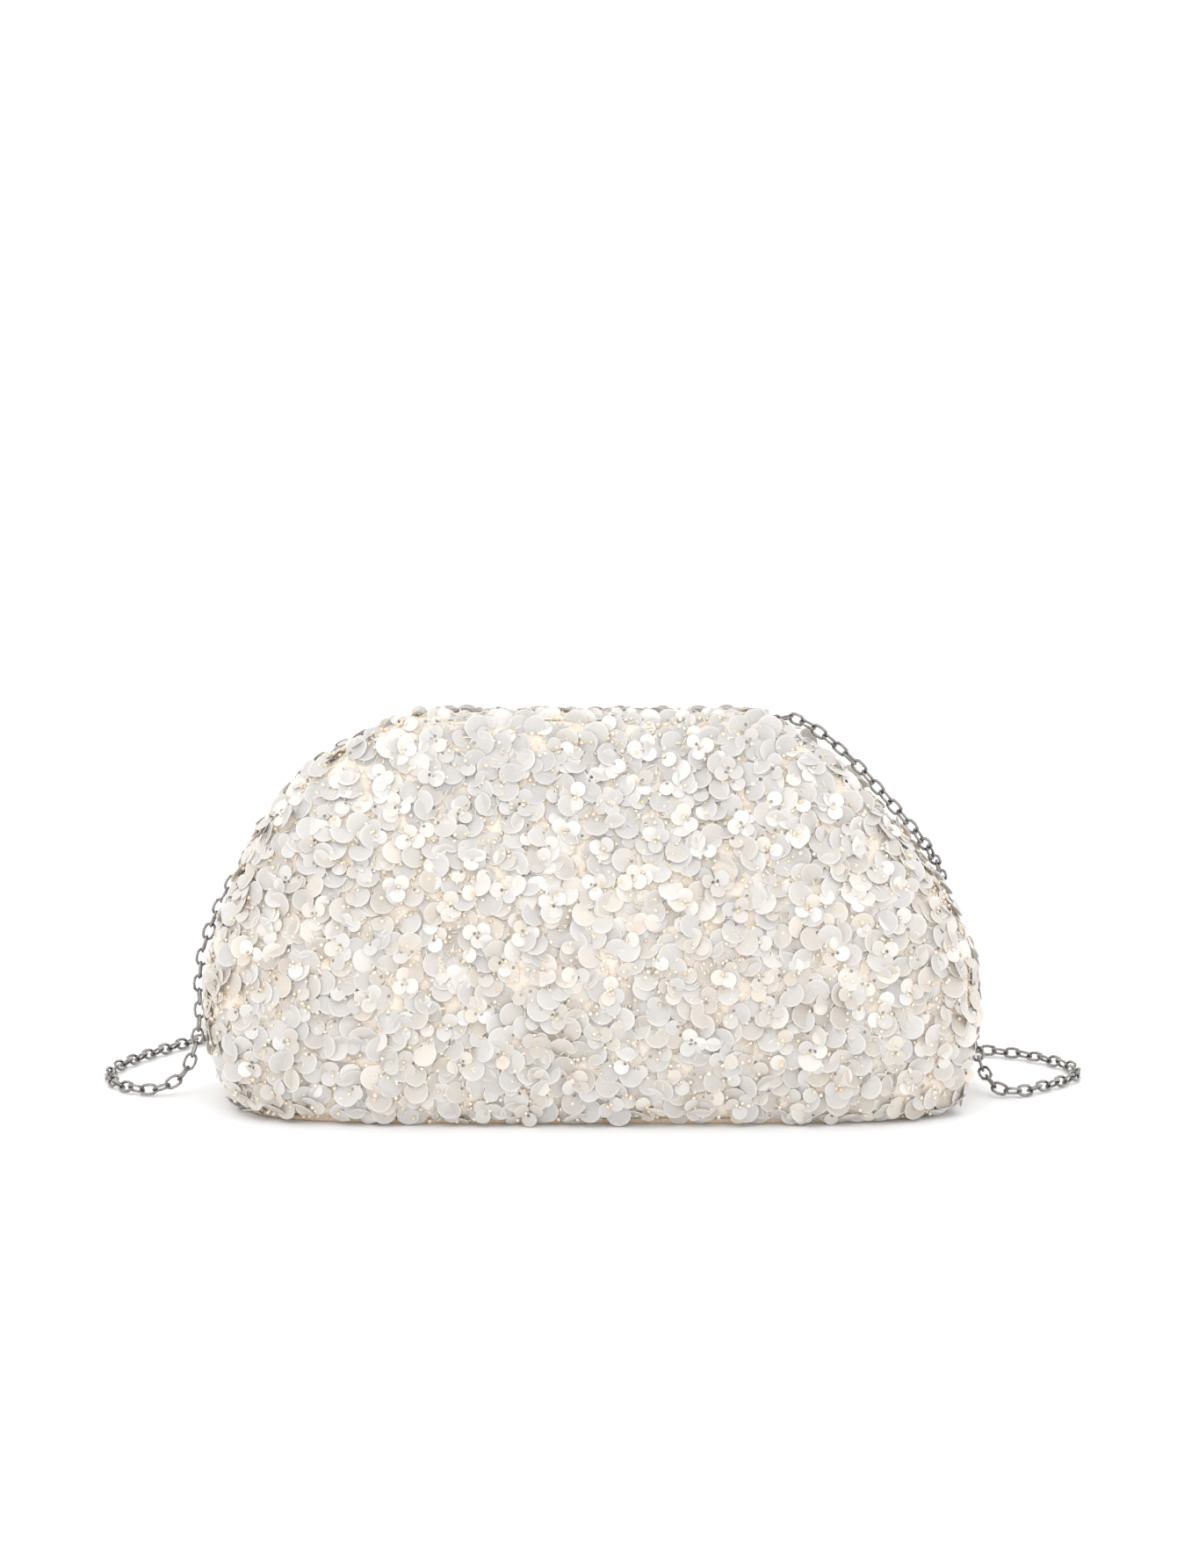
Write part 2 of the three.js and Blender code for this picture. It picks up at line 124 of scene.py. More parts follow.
@dataclass(frozen=True)
class Finish:
    """A surface finish, and the base of the others.

    Fields are what the shader's own sockets take all over the surface.
    """

    name: str
    light: str
    dark: str
    roughness: float
    metallic: float = 0.0
    coat: float = 0.0
    coat_roughness: float = 0.1
    sheen: float = 0.0
    through: float = 0.0

    def make(self) -> bpy.types.Material:
        """Builds the material, or finds it if it is there already.

        Returns:
            The material.
        """
        found = bpy.data.materials.get(self.name)
        if found:
            return found
        material = bpy.data.materials.new(self.name)
        material.use_nodes = True
        tree = material.node_tree
        tree.nodes.clear()
        shader = add_node(tree, "ShaderNodeBsdfPrincipled", {
            "Metallic": self.metallic,
            "Roughness": self.roughness,
            "Coat Weight": self.coat,
            "Coat Roughness": self.coat_roughness,
            "Sheen Weight": self.sheen,
            "Base Color": linear(self.light),
        })
        material.diffuse_color = linear(self.light)
        self.pattern(tree, shader)
        surface = self.pass_light(tree, shader) if self.through else shader
        add_node(tree, "ShaderNodeOutputMaterial", {}, {"Surface": surface.outputs[0]})
        return material

    def pass_light(self, tree: bpy.types.NodeTree, shader: bpy.types.Node) -> bpy.types.Node:
        """Lets a share of the light through a thin milky sheet.

        Args:
            tree: Node tree of the material.
            shader: The Principled shader.

        Returns:
            The shader that mixes both.
        """
        colour = shader.inputs["Base Color"].links[0].from_socket
        milk = add_node(tree, "ShaderNodeBsdfTranslucent", {}, {"Color": colour})
        return add_node(tree, "ShaderNodeMixShader", {0: self.through},
                        {1: shader.outputs[0], 2: milk.outputs[0]})

    def pattern(self, tree: bpy.types.NodeTree, shader: bpy.types.Node) -> None:
        """Adds what varies over the surface. Each finish has its own."""

    def tint(self, tree: bpy.types.NodeTree, shader: bpy.types.Node,
             share: bpy.types.NodeSocket) -> bpy.types.Node:
        """Mixes the dark and light colours by a share and feeds the base colour.

        Args:
            tree: Node tree of the material.
            shader: The Principled shader.
            share: Socket with 0 for dark and 1 for light.

        Returns:
            The mixing node.
        """
        mix = add_node(tree, "ShaderNodeMix",
                       {"data_type": "RGBA", 6: linear(self.dark), 7: linear(self.light)},
                       {0: share})
        tree.links.new(mix.outputs[2], shader.inputs["Base Color"])
        return mix

    def raise_bump(self, tree: bpy.types.NodeTree, shader: bpy.types.Node,
                   height: bpy.types.NodeSocket, depth: float, strength: float) -> None:
        """Feeds the shader's normal from a height.

        Args:
            tree: Node tree of the material.
            shader: The Principled shader.
            height: Socket with the height, 0 to 1.
            depth: What a height of 1 stands for, in metres.
            strength: Share of the bump that shows.
        """
        bump = add_node(tree, "ShaderNodeBump",
                        {"Strength": strength, "Distance": depth}, {"Height": height})
        tree.links.new(bump.outputs[0], shader.inputs["Normal"])


def object_noise(tree: bpy.types.NodeTree, grain: float, detail: float = 2.0,
                 stretch: tuple[float, float, float] = (1, 1, 1)) -> bpy.types.NodeSocket:
    """Noise on Object coordinates with a real grain size.

    Args:
        tree: Node tree of the material.
        grain: Size of a grain, in metres.
        detail: Octaves of finer noise.
        stretch: Scale of each axis, below 1 to lengthen the grain along it.

    Returns:
        The noise's value.
    """
    place = add_node(tree, "ShaderNodeTexCoord")
    turn = add_node(tree, "ShaderNodeMapping", {"Scale": stretch}, {0: place.outputs["Object"]})
    cloud = add_node(tree, "ShaderNodeTexNoise", {"Scale": 1 / grain, "Detail": detail},
                     {"Vector": turn.outputs[0]})
    return cloud.outputs[0]


def weighted_sum(tree: bpy.types.NodeTree, first: bpy.types.NodeSocket, first_share: float,
                 second: bpy.types.NodeSocket, second_share: float,
                 plus: float = 0.0) -> bpy.types.NodeSocket:
    """Adds two patterns, each times its share.

    Args:
        tree: Node tree of the material.
        first: One pattern's socket.
        first_share: What it is multiplied by.
        second: The other pattern's socket.
        second_share: What that is multiplied by.
        plus: A number added to the sum.

    Returns:
        The sum's socket.
    """
    begun = add_node(tree, "ShaderNodeMath",
                     {"operation": "MULTIPLY_ADD", 1: first_share, 2: plus}, {0: first})
    return add_node(tree, "ShaderNodeMath", {"operation": "MULTIPLY_ADD", 1: second_share},
                    {0: second, 2: begun.outputs[0]}).outputs[0]


def wave_scale(pitch: float) -> float:
    """Scale of a wave texture with a real pitch: a scale of 1 has 20 / (2 pi) waves in a metre."""
    return 2 * math.pi / 20 / pitch


@dataclass(frozen=True)
class SequinFilm(Finish):
    """PET film, punched and pearl-coated: milky and smooth, with a painted highlight along its cut
    edge.

    To the eye each disc is one even tone, greyer or creamier than its neighbour.
    Some are painted white as painted glints, and those near the top greyer as painted shade.
    """

    # Colour of the painted highlight on the cut edge.
    rim: str = "#FFFFFF"
    cream: str = "#F8F1E7"
    smooth: float = 0.22
    dull: float = 0.42
    through: float = 0.36

    def pattern(self, tree: bpy.types.NodeTree, shader: bpy.types.Node) -> None:
        """Tone and gloss by disc, a painted highlight at the cut edge and a faint cloud in the
        film.
        """
        tone = add_node(tree, "ShaderNodeAttribute", {"attribute_name": "tone"})
        rim = add_node(tree, "ShaderNodeAttribute", {"attribute_name": "rim"})
        gloss = add_node(tree, "ShaderNodeAttribute", {"attribute_name": "gloss"})
        # The pearl pigment settles in clouds about 3 mm across.
        cloud = object_noise(tree, 3 * MM)
        share = weighted_sum(tree, tone.outputs["Fac"], 1.0, cloud, 0.5, -0.25)
        body = self.tint(tree, shader, share)
        warmth = add_node(tree, "ShaderNodeAttribute", {"attribute_name": "warmth"})
        body = add_node(tree, "ShaderNodeMix",
                        {"data_type": "RGBA", "blend_type": "MULTIPLY", 7: linear(self.cream)},
                        {0: warmth.outputs["Fac"], 6: body.outputs[2]})
        # The mark runs from the hole to the outer edge, and over its last tenth the colour is
        # painted paler, a painted highlight on the cut edge.
        rim_highlight_share = add_node(tree, "ShaderNodeMapRange", {1: 0.86, 2: 1.0, 3: 0.0, 4: 0.55},
                       {0: rim.outputs["Fac"]})
        edge = add_node(tree, "ShaderNodeMix",
                        {"data_type": "RGBA", 7: linear(self.rim)},
                        {0: rim_highlight_share.outputs[0], 6: body.outputs[2]})
        tree.links.new(edge.outputs[2], shader.inputs["Base Color"])
        rough = add_node(tree, "ShaderNodeMapRange", {3: self.dull, 4: self.smooth},
                         {0: gloss.outputs["Fac"]})
        tree.links.new(rough.outputs[0], shader.inputs["Roughness"])
        self.raise_bump(tree, shader, object_noise(tree, 1.2 * MM, 1.0), 0.05 * MM, 0.35)


@dataclass(frozen=True)
class BeadGlass(Finish):
    """Pressed glass with a gold-cream lining: small round highlights, warm body."""

    def pattern(self, tree: bpy.types.NodeTree, shader: bpy.types.Node) -> None:
        """Tone by bead, with a slight cloud in the glass."""
        tone = add_node(tree, "ShaderNodeAttribute", {"attribute_name": "tone"})
        cloud = object_noise(tree, 0.6 * MM)
        share = weighted_sum(tree, tone.outputs["Fac"], 1.0, cloud, 0.6, -0.3)
        self.tint(tree, shader, share)


@dataclass(frozen=True)
class ThreadTwist(Finish):
    """Spun polyester thread, two plies twisted: matt with fine slanting ridges.

    turn is the drawn length of one turn of the plies, longer than real thread has.
    """

    turn: float = math.pi * MM

    def pattern(self, tree: bpy.types.NodeTree, shader: bpy.types.Node) -> None:
        """Tone by stitch and ridges of the twist."""
        tone = add_node(tree, "ShaderNodeAttribute", {"attribute_name": "tone"})
        self.tint(tree, shader, tone.outputs["Fac"])
        place = add_node(tree, "ShaderNodeTexCoord")
        twist = add_node(tree, "ShaderNodeTexWave",
                         {"Scale": wave_scale(self.turn), "Distortion": 0.4},
                         {"Vector": place.outputs["Object"]})
        self.raise_bump(tree, shader, twist.outputs["Fac"], 0.08 * MM, 0.6)


@dataclass(frozen=True)
class Weave(Finish):
    """Plain-woven or satin cloth whose threads follow the surface's own UV map.

    The UV map is in metres, so the pitch is the real one.
    """

    pitch: float = 0.9 * MM
    across: float = 1.0
    crease: float = 9 * MM
    crease_depth: float = 0.5 * MM
    thread_depth: float = 0.12 * MM

    def pattern(self, tree: bpy.types.NodeTree, shader: bpy.types.Node) -> None:
        """Crossing threads, uneven dye and soft creases."""
        chart = add_node(tree, "ShaderNodeUVMap", {"uv_map": "UVMap"})
        scale = wave_scale(self.pitch)
        warp = add_node(tree, "ShaderNodeTexWave",
                        {"Scale": scale, "Distortion": 0.6, "Detail": 1.0,
                         "bands_direction": "X"}, {"Vector": chart.outputs[0]})
        weft = add_node(tree, "ShaderNodeTexWave",
                        {"Scale": scale * self.across, "Distortion": 0.6, "Detail": 1.0,
                         "bands_direction": "Y"}, {"Vector": chart.outputs[0]})
        threads = weighted_sum(tree, warp.outputs["Fac"], 0.5, weft.outputs["Fac"], 0.5)
        dye = object_noise(tree, 14 * MM, 3.0)
        self.tint(tree, shader, weighted_sum(tree, threads, 0.55, dye, 0.6))
        fold = object_noise(tree, self.crease, 1.5)
        height = weighted_sum(tree, threads, self.thread_depth / MM, fold,
                              self.crease_depth / MM)
        self.raise_bump(tree, shader, height, MM, 0.7)


@dataclass(frozen=True)
class FoamCell(Finish):
    """Open-cell upholstery foam: matt, with pinholes about a millimetre wide."""

    def pattern(self, tree: bpy.types.NodeTree, shader: bpy.types.Node) -> None:
        """Cells as bump, with painted shade darkening the pinholes."""
        place = add_node(tree, "ShaderNodeTexCoord")
        cells = add_node(tree, "ShaderNodeTexVoronoi", {"Scale": 1 / (1.1 * MM)},
                         {"Vector": place.outputs["Object"]})
        # Painted shade: the pinholes, the pits of the bump, are painted darker.
        self.tint(tree, shader, cells.outputs["Distance"])
        self.raise_bump(tree, shader, cells.outputs["Distance"], 0.4 * MM, 0.8)


@dataclass(frozen=True)
class FibreBoard(Finish):
    """Pressed leather-fibre board: matt tan with short darker fibres."""

    def pattern(self, tree: bpy.types.NodeTree, shader: bpy.types.Node) -> None:
        """Fibres a few millimetres long."""
        fibres = object_noise(tree, 0.8 * MM, 4.0, (0.25, 1.0, 1.0))
        self.tint(tree, shader, fibres)
        self.raise_bump(tree, shader, fibres, 0.1 * MM, 0.6)


@dataclass(frozen=True)
class PlatedMetal(Finish):
    """Steel wire or sheet, plated and tumbled: soft shine with tarnish in the bends.

    Fine rub marks vary the gloss, and the crevice attribute darkens where two
    links meet.
    """

    grain: float = 0.5 * MM
    stretch: tuple[float, float, float] = (1, 1, 1)

    def pattern(self, tree: bpy.types.NodeTree, shader: bpy.types.Node) -> None:
        """Tarnish, rub marks and uneven gloss."""
        crevice = add_node(tree, "ShaderNodeAttribute", {"attribute_name": "crevice"})
        tarnish = object_noise(tree, 1.6 * MM, 3.0)
        clean = weighted_sum(tree, tarnish, 1.7, crevice.outputs["Fac"], -1.0)
        ramp = add_node(tree, "ShaderNodeMapRange", {1: 0.1, 2: 0.9}, {0: clean})
        self.tint(tree, shader, ramp.outputs[0])
        rub = object_noise(tree, self.grain, 2.0, self.stretch)
        rough = add_node(tree, "ShaderNodeMapRange",
                         {3: self.roughness * 0.7, 4: self.roughness * 1.4}, {0: rub})
        tree.links.new(rough.outputs[0], shader.inputs["Roughness"])
        self.raise_bump(tree, shader, rub, 0.02 * MM, 0.4)


@dataclass(frozen=True)
class Paper(Finish):
    """Seamless studio paper: plain, matt and white, with a faint tooth."""

    def pattern(self, tree: bpy.types.NodeTree, shader: bpy.types.Node) -> None:
        """A tooth far finer than shows, drawn at 4 mm so that it shows at all."""
        self.raise_bump(tree, shader, object_noise(tree, 4 * MM), 0.02 * MM, 0.1)


LARGE_FILM = SequinFilm("pearl_pet_film_large", "#FBF9F6", "#E2E0DE", 0.3, coat=0.35,
                        coat_roughness=0.16)
SMALL_FILM = SequinFilm("pearl_pet_film_small", "#FCFBF9", "#E8E5E2", 0.24, coat=0.5,
                        coat_roughness=0.12, smooth=0.16, dull=0.34)
SEED_GLASS = BeadGlass("gold_lined_seed_glass", "#FAF1E2", "#E3CBA8", 0.14, coat=0.4)
SEWING_THREAD = ThreadTwist("spun_polyester_thread", "#F6EEE2", "#E0CFB6", 0.6, sheen=0.3)
GROUND_CLOTH = Weave("ivory_net_on_cotton", "#F6EEE4", "#ECE0D0", 0.75, sheen=0.2)
# Real satin has some 40 threads to the centimetre; drawn at 0.8 mm so that they show.
LINING_SATIN = Weave("champagne_acetate_satin", "#E9D7BF", "#CDB596", 0.34, sheen=0.5,
                     pitch=0.8 * MM, across=0.35, crease=16 * MM, crease_depth=0.9 * MM,
                     thread_depth=0.05 * MM)
BASE_SATIN = Weave("champagne_duchess_satin", "#E3D0B6", "#C4AB8A", 0.42, sheen=0.4,
                   pitch=0.8 * MM, across=0.5, crease=20 * MM, crease_depth=0.4 * MM,
                   thread_depth=0.07 * MM)
WADDING_FOAM = FoamCell("open_cell_foam", "#F3EBDC", "#D9CDB8", 0.9)
BASE_BOARD = FibreBoard("pressed_fibre_board", "#C9AE8A", "#94764F", 0.8)
CHAIN_STEEL = PlatedMetal("tumbled_antique_silver_plate", "#A8A5A1", "#5C5855", 0.3, 1.0)
SPRING_STEEL = PlatedMetal("bright_rolled_spring_steel", "#B4B2AE", "#7C7A77", 0.28, 1.0,
                           grain=0.4 * MM, stretch=(0.1, 1, 1))
MAGNET_NICKEL = PlatedMetal("bright_nickel_plate", "#C9C5BC", "#8F8B83", 0.16, 1.0)
STUDIO_PAPER = Paper("white_studio_paper", "#FBFBFB", "#FBFBFB", 0.9)


# ---------------------------------------------------------------- the form


def smooth_rise(value: np.ndarray, low: float, high: float) -> np.ndarray:
    """A soft step from 0 at low to 1 at high."""
    share = np.clip((value - low) / (high - low), 0, 1)
    return share * share * (3 - 2 * share)


@dataclass(frozen=True)
class Profile:
    """A value against height, as one smooth curve through a few points."""

    points: tuple[tuple[float, float], ...]

    def at(self, share: np.ndarray) -> np.ndarray:
        """The value at each share of the height, from 0 to 1."""
        given = np.array(self.points)
        curve = []
        for i in range(len(given) - 1):
            before = given[max(i - 1, 0)]
            start, stop = given[i], given[i + 1]
            after = given[min(i + 2, len(given) - 1)]
            t = np.linspace(0, 1, 24, endpoint=False)[:, None]
            lead, trail = (stop - before) / 2, (after - start) / 2
            curve.append((2 * start - 2 * stop + lead + trail) * t**3
                         + (3 * stop - 3 * start - 2 * lead - trail) * t**2 + lead * t + start)
        line = np.vstack([*curve, given[-1:]])
        return np.interp(share, line[:, 1], line[:, 0])


@dataclass(frozen=True)
class Form:
    """The bag's soft half-moon form, the mean surface of its sequins."""

    height: float = 130 * MM
    half_width: float = 126 * MM
    half_depth: float = 42 * MM
    top_half_depth: float = 8 * MM
    lean: float = 5.5 * MM
    shoulder: float = 121 * MM
    seam_gap: float = 0.3 * MM
    width: Profile = Profile(((0.889, 0), (0.958, 0.055), (1, 0.27), (0.957, 0.46),
                              (0.873, 0.615), (0.798, 0.723), (0.688, 0.846), (0.603, 0.908),
                              (0.51, 0.954), (0.413, 1)))
    depth: Profile = Profile(((0.82, 0), (0.95, 0.05), (1, 0.19), (0.938, 0.385),
                              (0.765, 0.577), (0.518, 0.723), (0.37, 0.792), (0.235, 0.862),
                              (0.135, 0.923), (0.065, 0.97), (0, 1)))
    settle: Profile = Profile(((0, 0), (0.1, 0.3), (0.4, 0.53), (0.75, 0.65), (1, 0.77),
                               (0.95, 0.87), (0.665, 0.9554), (0.45, 1)))

    def half_width_at(self, z: np.ndarray) -> np.ndarray:
        """Half the width at each height."""
        return self.half_width * self.width.at(z / self.height)

    def half_depth_at(self, z: np.ndarray) -> np.ndarray:
        """Half the depth at each height, closing to the mouth's line over the shoulder."""
        spare = self.half_depth - self.top_half_depth
        open_depth = self.top_half_depth + spare * self.depth.at(z / self.height)
        near_top = np.clip((z - self.shoulder) / (self.height - self.shoulder), 0, 1)
        return np.maximum(open_depth * np.sqrt(1 - near_top**2.2), 0.4 * MM)

    def lean_at(self, z: np.ndarray) -> np.ndarray:
        """How far the soft top has settled to the left at each height."""
        return -self.lean * self.settle.at(z / self.height)

    def squareness_at(self, z: float) -> float:
        """The section's power: 2 is an ellipse, and more is squarer."""
        belly = float(smooth_rise(z, 0, self.height * 0.5))
        mouth = float(smooth_rise(z, self.height * 0.62, self.height * 0.9))
        low = 4.5 + (3.6 - 4.5) * belly
        return low + (6 - low) * mouth

    def section(self, z: float, columns: int, start: float, stop: float) -> np.ndarray:
        """Evenly spaced points round one level.

        Args:
            z: Height of the level.
            columns: How many points.
            start: First angle, in radians, from the right-hand side.
            stop: Last angle.

        Returns:
            The points, columns by 3.
        """
        wide, deep = float(self.half_width_at(z)), float(self.half_depth_at(z))
        power = self.squareness_at(z)
        steps = np.linspace(start, stop, 2400)
        # Angles are drawn out so that the flat sides get their share of the steps.
        angle = np.arctan2(np.sin(steps) * deep, np.cos(steps) * wide)
        reach = ((np.abs(np.cos(angle)) / wide) ** power
                 + (np.abs(np.sin(angle)) / deep) ** power) ** (-1 / power)
        x, y = reach * np.cos(angle), reach * np.sin(angle)
        along = np.concatenate([[0], np.cumsum(np.hypot(np.diff(x), np.diff(y)))])
        at = np.linspace(0, along[-1], columns)
        lean = float(self.lean_at(z))
        return np.stack([np.interp(at, along, x) + lean, np.interp(at, along, y),
                         np.full(columns, z)], 1)

    def levels(self, bottom: float, top: float, count: int) -> np.ndarray:
        """Heights from bottom to top, close together over the round shoulder."""
        if top <= self.shoulder:
            return np.linspace(bottom, top, count)
        over = count // 4
        turn = np.linspace(0, math.pi / 2, over + 1)[1:]
        wall = np.linspace(bottom, self.shoulder, count - over)
        return np.concatenate([wall, self.shoulder + (top - self.shoulder) * np.sin(turn)])

    def half_shell(self, side: Side, bottom: float, top: float, rows: int,
                   columns: int) -> tuple[np.ndarray, np.ndarray]:
        """One half's surface as a grid of points, with outward normals.

        Args:
            side: Front or back.
            bottom: Lowest height.
            top: Highest height.
            rows: Points up the grid.
            columns: Points across it.

        Returns:
            The points and the normals, each rows by columns by 3.
        """
        heights = self.levels(bottom, top, rows)
        grid = np.stack([self.section(float(z), columns, 0, math.pi) for z in heights])
        grid[..., 1] *= side.value
        across = np.gradient(grid, axis=1)
        up = np.gradient(grid, axis=0)
        normals = np.cross(across, up)
        normals /= np.maximum(np.linalg.norm(normals, axis=2, keepdims=True), 1e-12)
        middle = np.array([0, 0, 0.05])
        if np.sum(normals * (grid - middle)) < 0:
            normals = -normals
        # The last column of each side lies in the mouth's plane, and so does its normal.
        normals[:, (0, -1), 1] = 0
        normals /= np.maximum(np.linalg.norm(normals, axis=2, keepdims=True), 1e-12)
        return grid, normals

    def inset(self, side: Side, grid: np.ndarray, normals: np.ndarray,
              depth: float | np.ndarray) -> np.ndarray:
        """Moves a half's surface inwards and keeps it on its side of the mouth.

        Args:
            side: Front or back.
            grid: Points of the surface.
            normals: Its outward normals.
            depth: How far inwards, one number or one for each point.

        Returns:
            The moved points.
        """
        moved = grid - normals * (np.asarray(depth)[..., None] if np.ndim(depth) else depth)
        moved[..., 1] = side.value * np.maximum(moved[..., 1] * side.value, self.seam_gap)
        return moved

    def mouth_line(self, count: int, bottom: float, shrink: tuple[float, float]) -> np.ndarray:
        """The arch of the mouth, from the right hinge over the top to the left.

        Args:
            count: How many points.
            bottom: Height that it starts and ends at.
            shrink: Scale of the width and of the height above the start.

        Returns:
            The points, count by 3, with Y at 0.
        """
        z = self.levels(bottom, self.height, 90)
        wide = self.half_width_at(z)
        flat = np.linspace(wide[-1], -wide[-1], 40)[1:-1]
        x = np.concatenate([wide, flat, -wide[::-1]]) * shrink[0]
        high = np.concatenate([z, np.full(38, self.height), z[::-1]])
        settled = self.lean_at(z)
        x = x + np.concatenate([settled, np.full(38, settled[-1]), settled[::-1]])
        high = bottom + (high - bottom) * shrink[1]
        along = np.concatenate([[0], np.cumsum(np.hypot(np.diff(x), np.diff(high)))])
        at = np.linspace(0, along[-1], count)
        return np.stack([np.interp(at, along, x), np.zeros(count),
                         np.interp(at, along, high)], 1)


# ---------------------------------------------------------------- making meshes


def soft_swell(point: np.ndarray) -> float:
    """How far the padding lifts the cloth at a point, from 0 to about 1 mm."""
    broad = noise.noise(Vector(point) / (34 * MM))
    fine = noise.noise(Vector(point) / (13 * MM) + Vector((3, 5, 7)))
    return max(0.0, 0.35 + 0.6 * broad + 0.25 * fine) * MM


def lay_grid(name: str, points: np.ndarray, outward: np.ndarray | None = None,
             closed: bool = False) -> bpy.types.Object:
    """Lays a grid mesh over rows of points, with a UV map in metres.

    Args:
        name: Name of the piece.
        points: Rows by columns by 3.
        outward: Grid of outward directions, for an open surface.
        closed: True if the grid's edges meet or have to be capped.

    Returns:
        The new object.
    """
    rows, columns = points.shape[:2]
    across = np.linalg.norm(np.diff(points, axis=1), axis=2).sum(1).mean()
    up = np.linalg.norm(np.diff(points, axis=0), axis=2).sum(0).mean()
    bm = bmesh.new()
    bmesh.ops.create_grid(bm, x_segments=columns - 1, y_segments=rows - 1, size=0.5)
    chart = bm.loops.layers.uv.new("UVMap")
    for face in bm.faces:
        for loop in face.loops:
            at = loop.vert.co
            loop[chart].uv = ((at.x + 0.5) * across, (at.y + 0.5) * up)
    toward = []
    for vert in bm.verts:
        column = round((vert.co.x + 0.5) * (columns - 1))
        row = round((vert.co.y + 0.5) * (rows - 1))
        vert.co = points[row, column]
        if not closed:
            toward.append(outward[row, column])
    bm.normal_update()
    if closed:
        bmesh.ops.remove_doubles(bm, verts=bm.verts, dist=1e-7)
        rims = [e for e in bm.edges if e.is_boundary]
        if rims:
            bmesh.ops.holes_fill(bm, edges=rims, sides=0)
        bmesh.ops.recalc_face_normals(bm, faces=bm.faces)
    else:
        facing = [np.dot(way, vert.normal) for way, vert in zip(toward, bm.verts)]
        if sum(facing) < 0:
            bmesh.ops.reverse_faces(bm, faces=bm.faces)
    for face in bm.faces:
        face.smooth = True
    return finish_mesh(name, bm)


def finish_mesh(name: str, bm: bmesh.types.BMesh) -> bpy.types.Object:
    """Turns a bmesh to an object at the origin."""
    mesh = bpy.data.meshes.new(name)
    bm.to_mesh(mesh)
    bm.free()
    piece = bpy.data.objects.new(name, mesh)
    bpy.context.scene.collection.objects.link(piece)
    return piece


def dress(piece: bpy.types.Object, finish: Finish) -> bpy.types.Object:
    """Gives a piece its material."""
    piece.data.materials.clear()
    piece.data.materials.append(finish.make())
    return piece


def thicken(piece: bpy.types.Object, thickness: float) -> None:
    """Gives a sheet its wall, behind its face, with a Solidify modifier."""
    wall = piece.modifiers.new("wall", "SOLIDIFY")
    wall.thickness = thickness
    wall.offset = -1
    wall.use_even_offset = True


def sweep(name: str, line: np.ndarray, radius: float, sides: int,
          closed: bool) -> bpy.types.Object:
    """Sweeps a round cord along a line.

    Args:
        name: Name of the piece.
        line: Points of the middle line.
        radius: Radius of the cord.
        sides: Facets round it.
        closed: True if the line is a ring.

    Returns:
        The new object.
    """
    around = np.linspace(0, 2 * math.pi, sides + 1)
    side, up = carried_frames(line, closed)
    ring = (side[:, None] * np.cos(around)[None, :, None]
            + up[:, None] * np.sin(around)[None, :, None])
    tube = line[:, None] + radius * ring
    if closed:
        tube = np.concatenate([tube, tube[:1]])
    return lay_grid(name, tube, closed=True)


def carried_frames(line: np.ndarray, closed: bool = False) -> tuple[np.ndarray, np.ndarray]:
    """Directions beside and above a line, carried along it without a twist.

    Args:
        line: Points of the line.
        closed: True if the line is a ring, which keeps its frames level instead.

    Returns:
        Unit vectors beside and above each point.
    """
    if closed:
        ahead = np.roll(line, -1, 0) - np.roll(line, 1, 0)
    else:
        ahead = np.gradient(line, axis=0)
    ahead /= np.linalg.norm(ahead, axis=1, keepdims=True)
    above = np.zeros_like(line)
    above[0] = np.cross(ahead[0], [0.0, 1.0, 0.0]) if abs(ahead[0][1]) < 0.9 else [0, 0, 1]
    for i in range(len(line)):
        hint = np.array([0.0, 0.0, 1.0]) if closed else above[max(i - 1, 0)]
        level = hint - ahead[i] * np.dot(hint, ahead[i])
        above[i] = level / np.linalg.norm(level)
    return np.cross(ahead, above), above


@dataclass
class Pattern:
    """One small shape that is sewn on many times."""

    mesh: bpy.types.Mesh
    marks: dict[str, np.ndarray] = field(default_factory=dict)

    @property
    def corners(self) -> np.ndarray:
        """The shape's own vertices."""
        co = np.zeros(len(self.mesh.vertices) * 3, np.float32)
        self.mesh.vertices.foreach_get("co", co)
        return co.reshape(-1, 3).astype(float)


def pattern_from(bm: bmesh.types.BMesh, name: str) -> Pattern:
    """Keeps a small bmesh as a pattern, smooth-shaded but for its square edges."""
    bmesh.ops.recalc_face_normals(bm, faces=bm.faces)
    for face in bm.faces:
        face.smooth = True
    for edge in bm.edges:
        edge.smooth = edge.calc_face_angle(0.0) < math.radians(70)
    mesh = bpy.data.meshes.new(name)
    bm.to_mesh(mesh)
    bm.free()
    return Pattern(mesh)


def repeat(name: str, pattern: Pattern, frames: np.ndarray,
           values: dict[str, np.ndarray]) -> bpy.types.Object:
    """Sews a pattern on at every frame, as one piece.

    Args:
        name: Name of the piece.
        pattern: The small shape.
        frames: One 3 by 4 placing for each copy: three axes and the place.
        values: One number for each copy, by attribute name.

    Returns:
        The new object.
    """
    corners = pattern.corners
    bm = bmesh.new()
    for turn in frames:
        placed = corners @ turn[:, :3].T + turn[:, 3]
        pattern.mesh.vertices.foreach_set("co", placed.astype(np.float32).ravel())
        bm.from_mesh(pattern.mesh)
    pattern.mesh.vertices.foreach_set("co", corners.astype(np.float32).ravel())
    piece = finish_mesh(name, bm)
    copies = len(frames)
    for key, each in values.items():
        put_attribute(piece, key, np.repeat(each, len(corners)))
    for key, marks in pattern.marks.items():
        put_attribute(piece, key, np.tile(marks, copies))
    return piece


def put_attribute(piece: bpy.types.Object, name: str, values: np.ndarray) -> None:
    """Writes one number for each vertex of a piece."""
    layer = piece.data.attributes.new(name, "FLOAT", "POINT")
    layer.data.foreach_set("value", values.astype(np.float32))


# ---------------------------------------------------------------- the chain


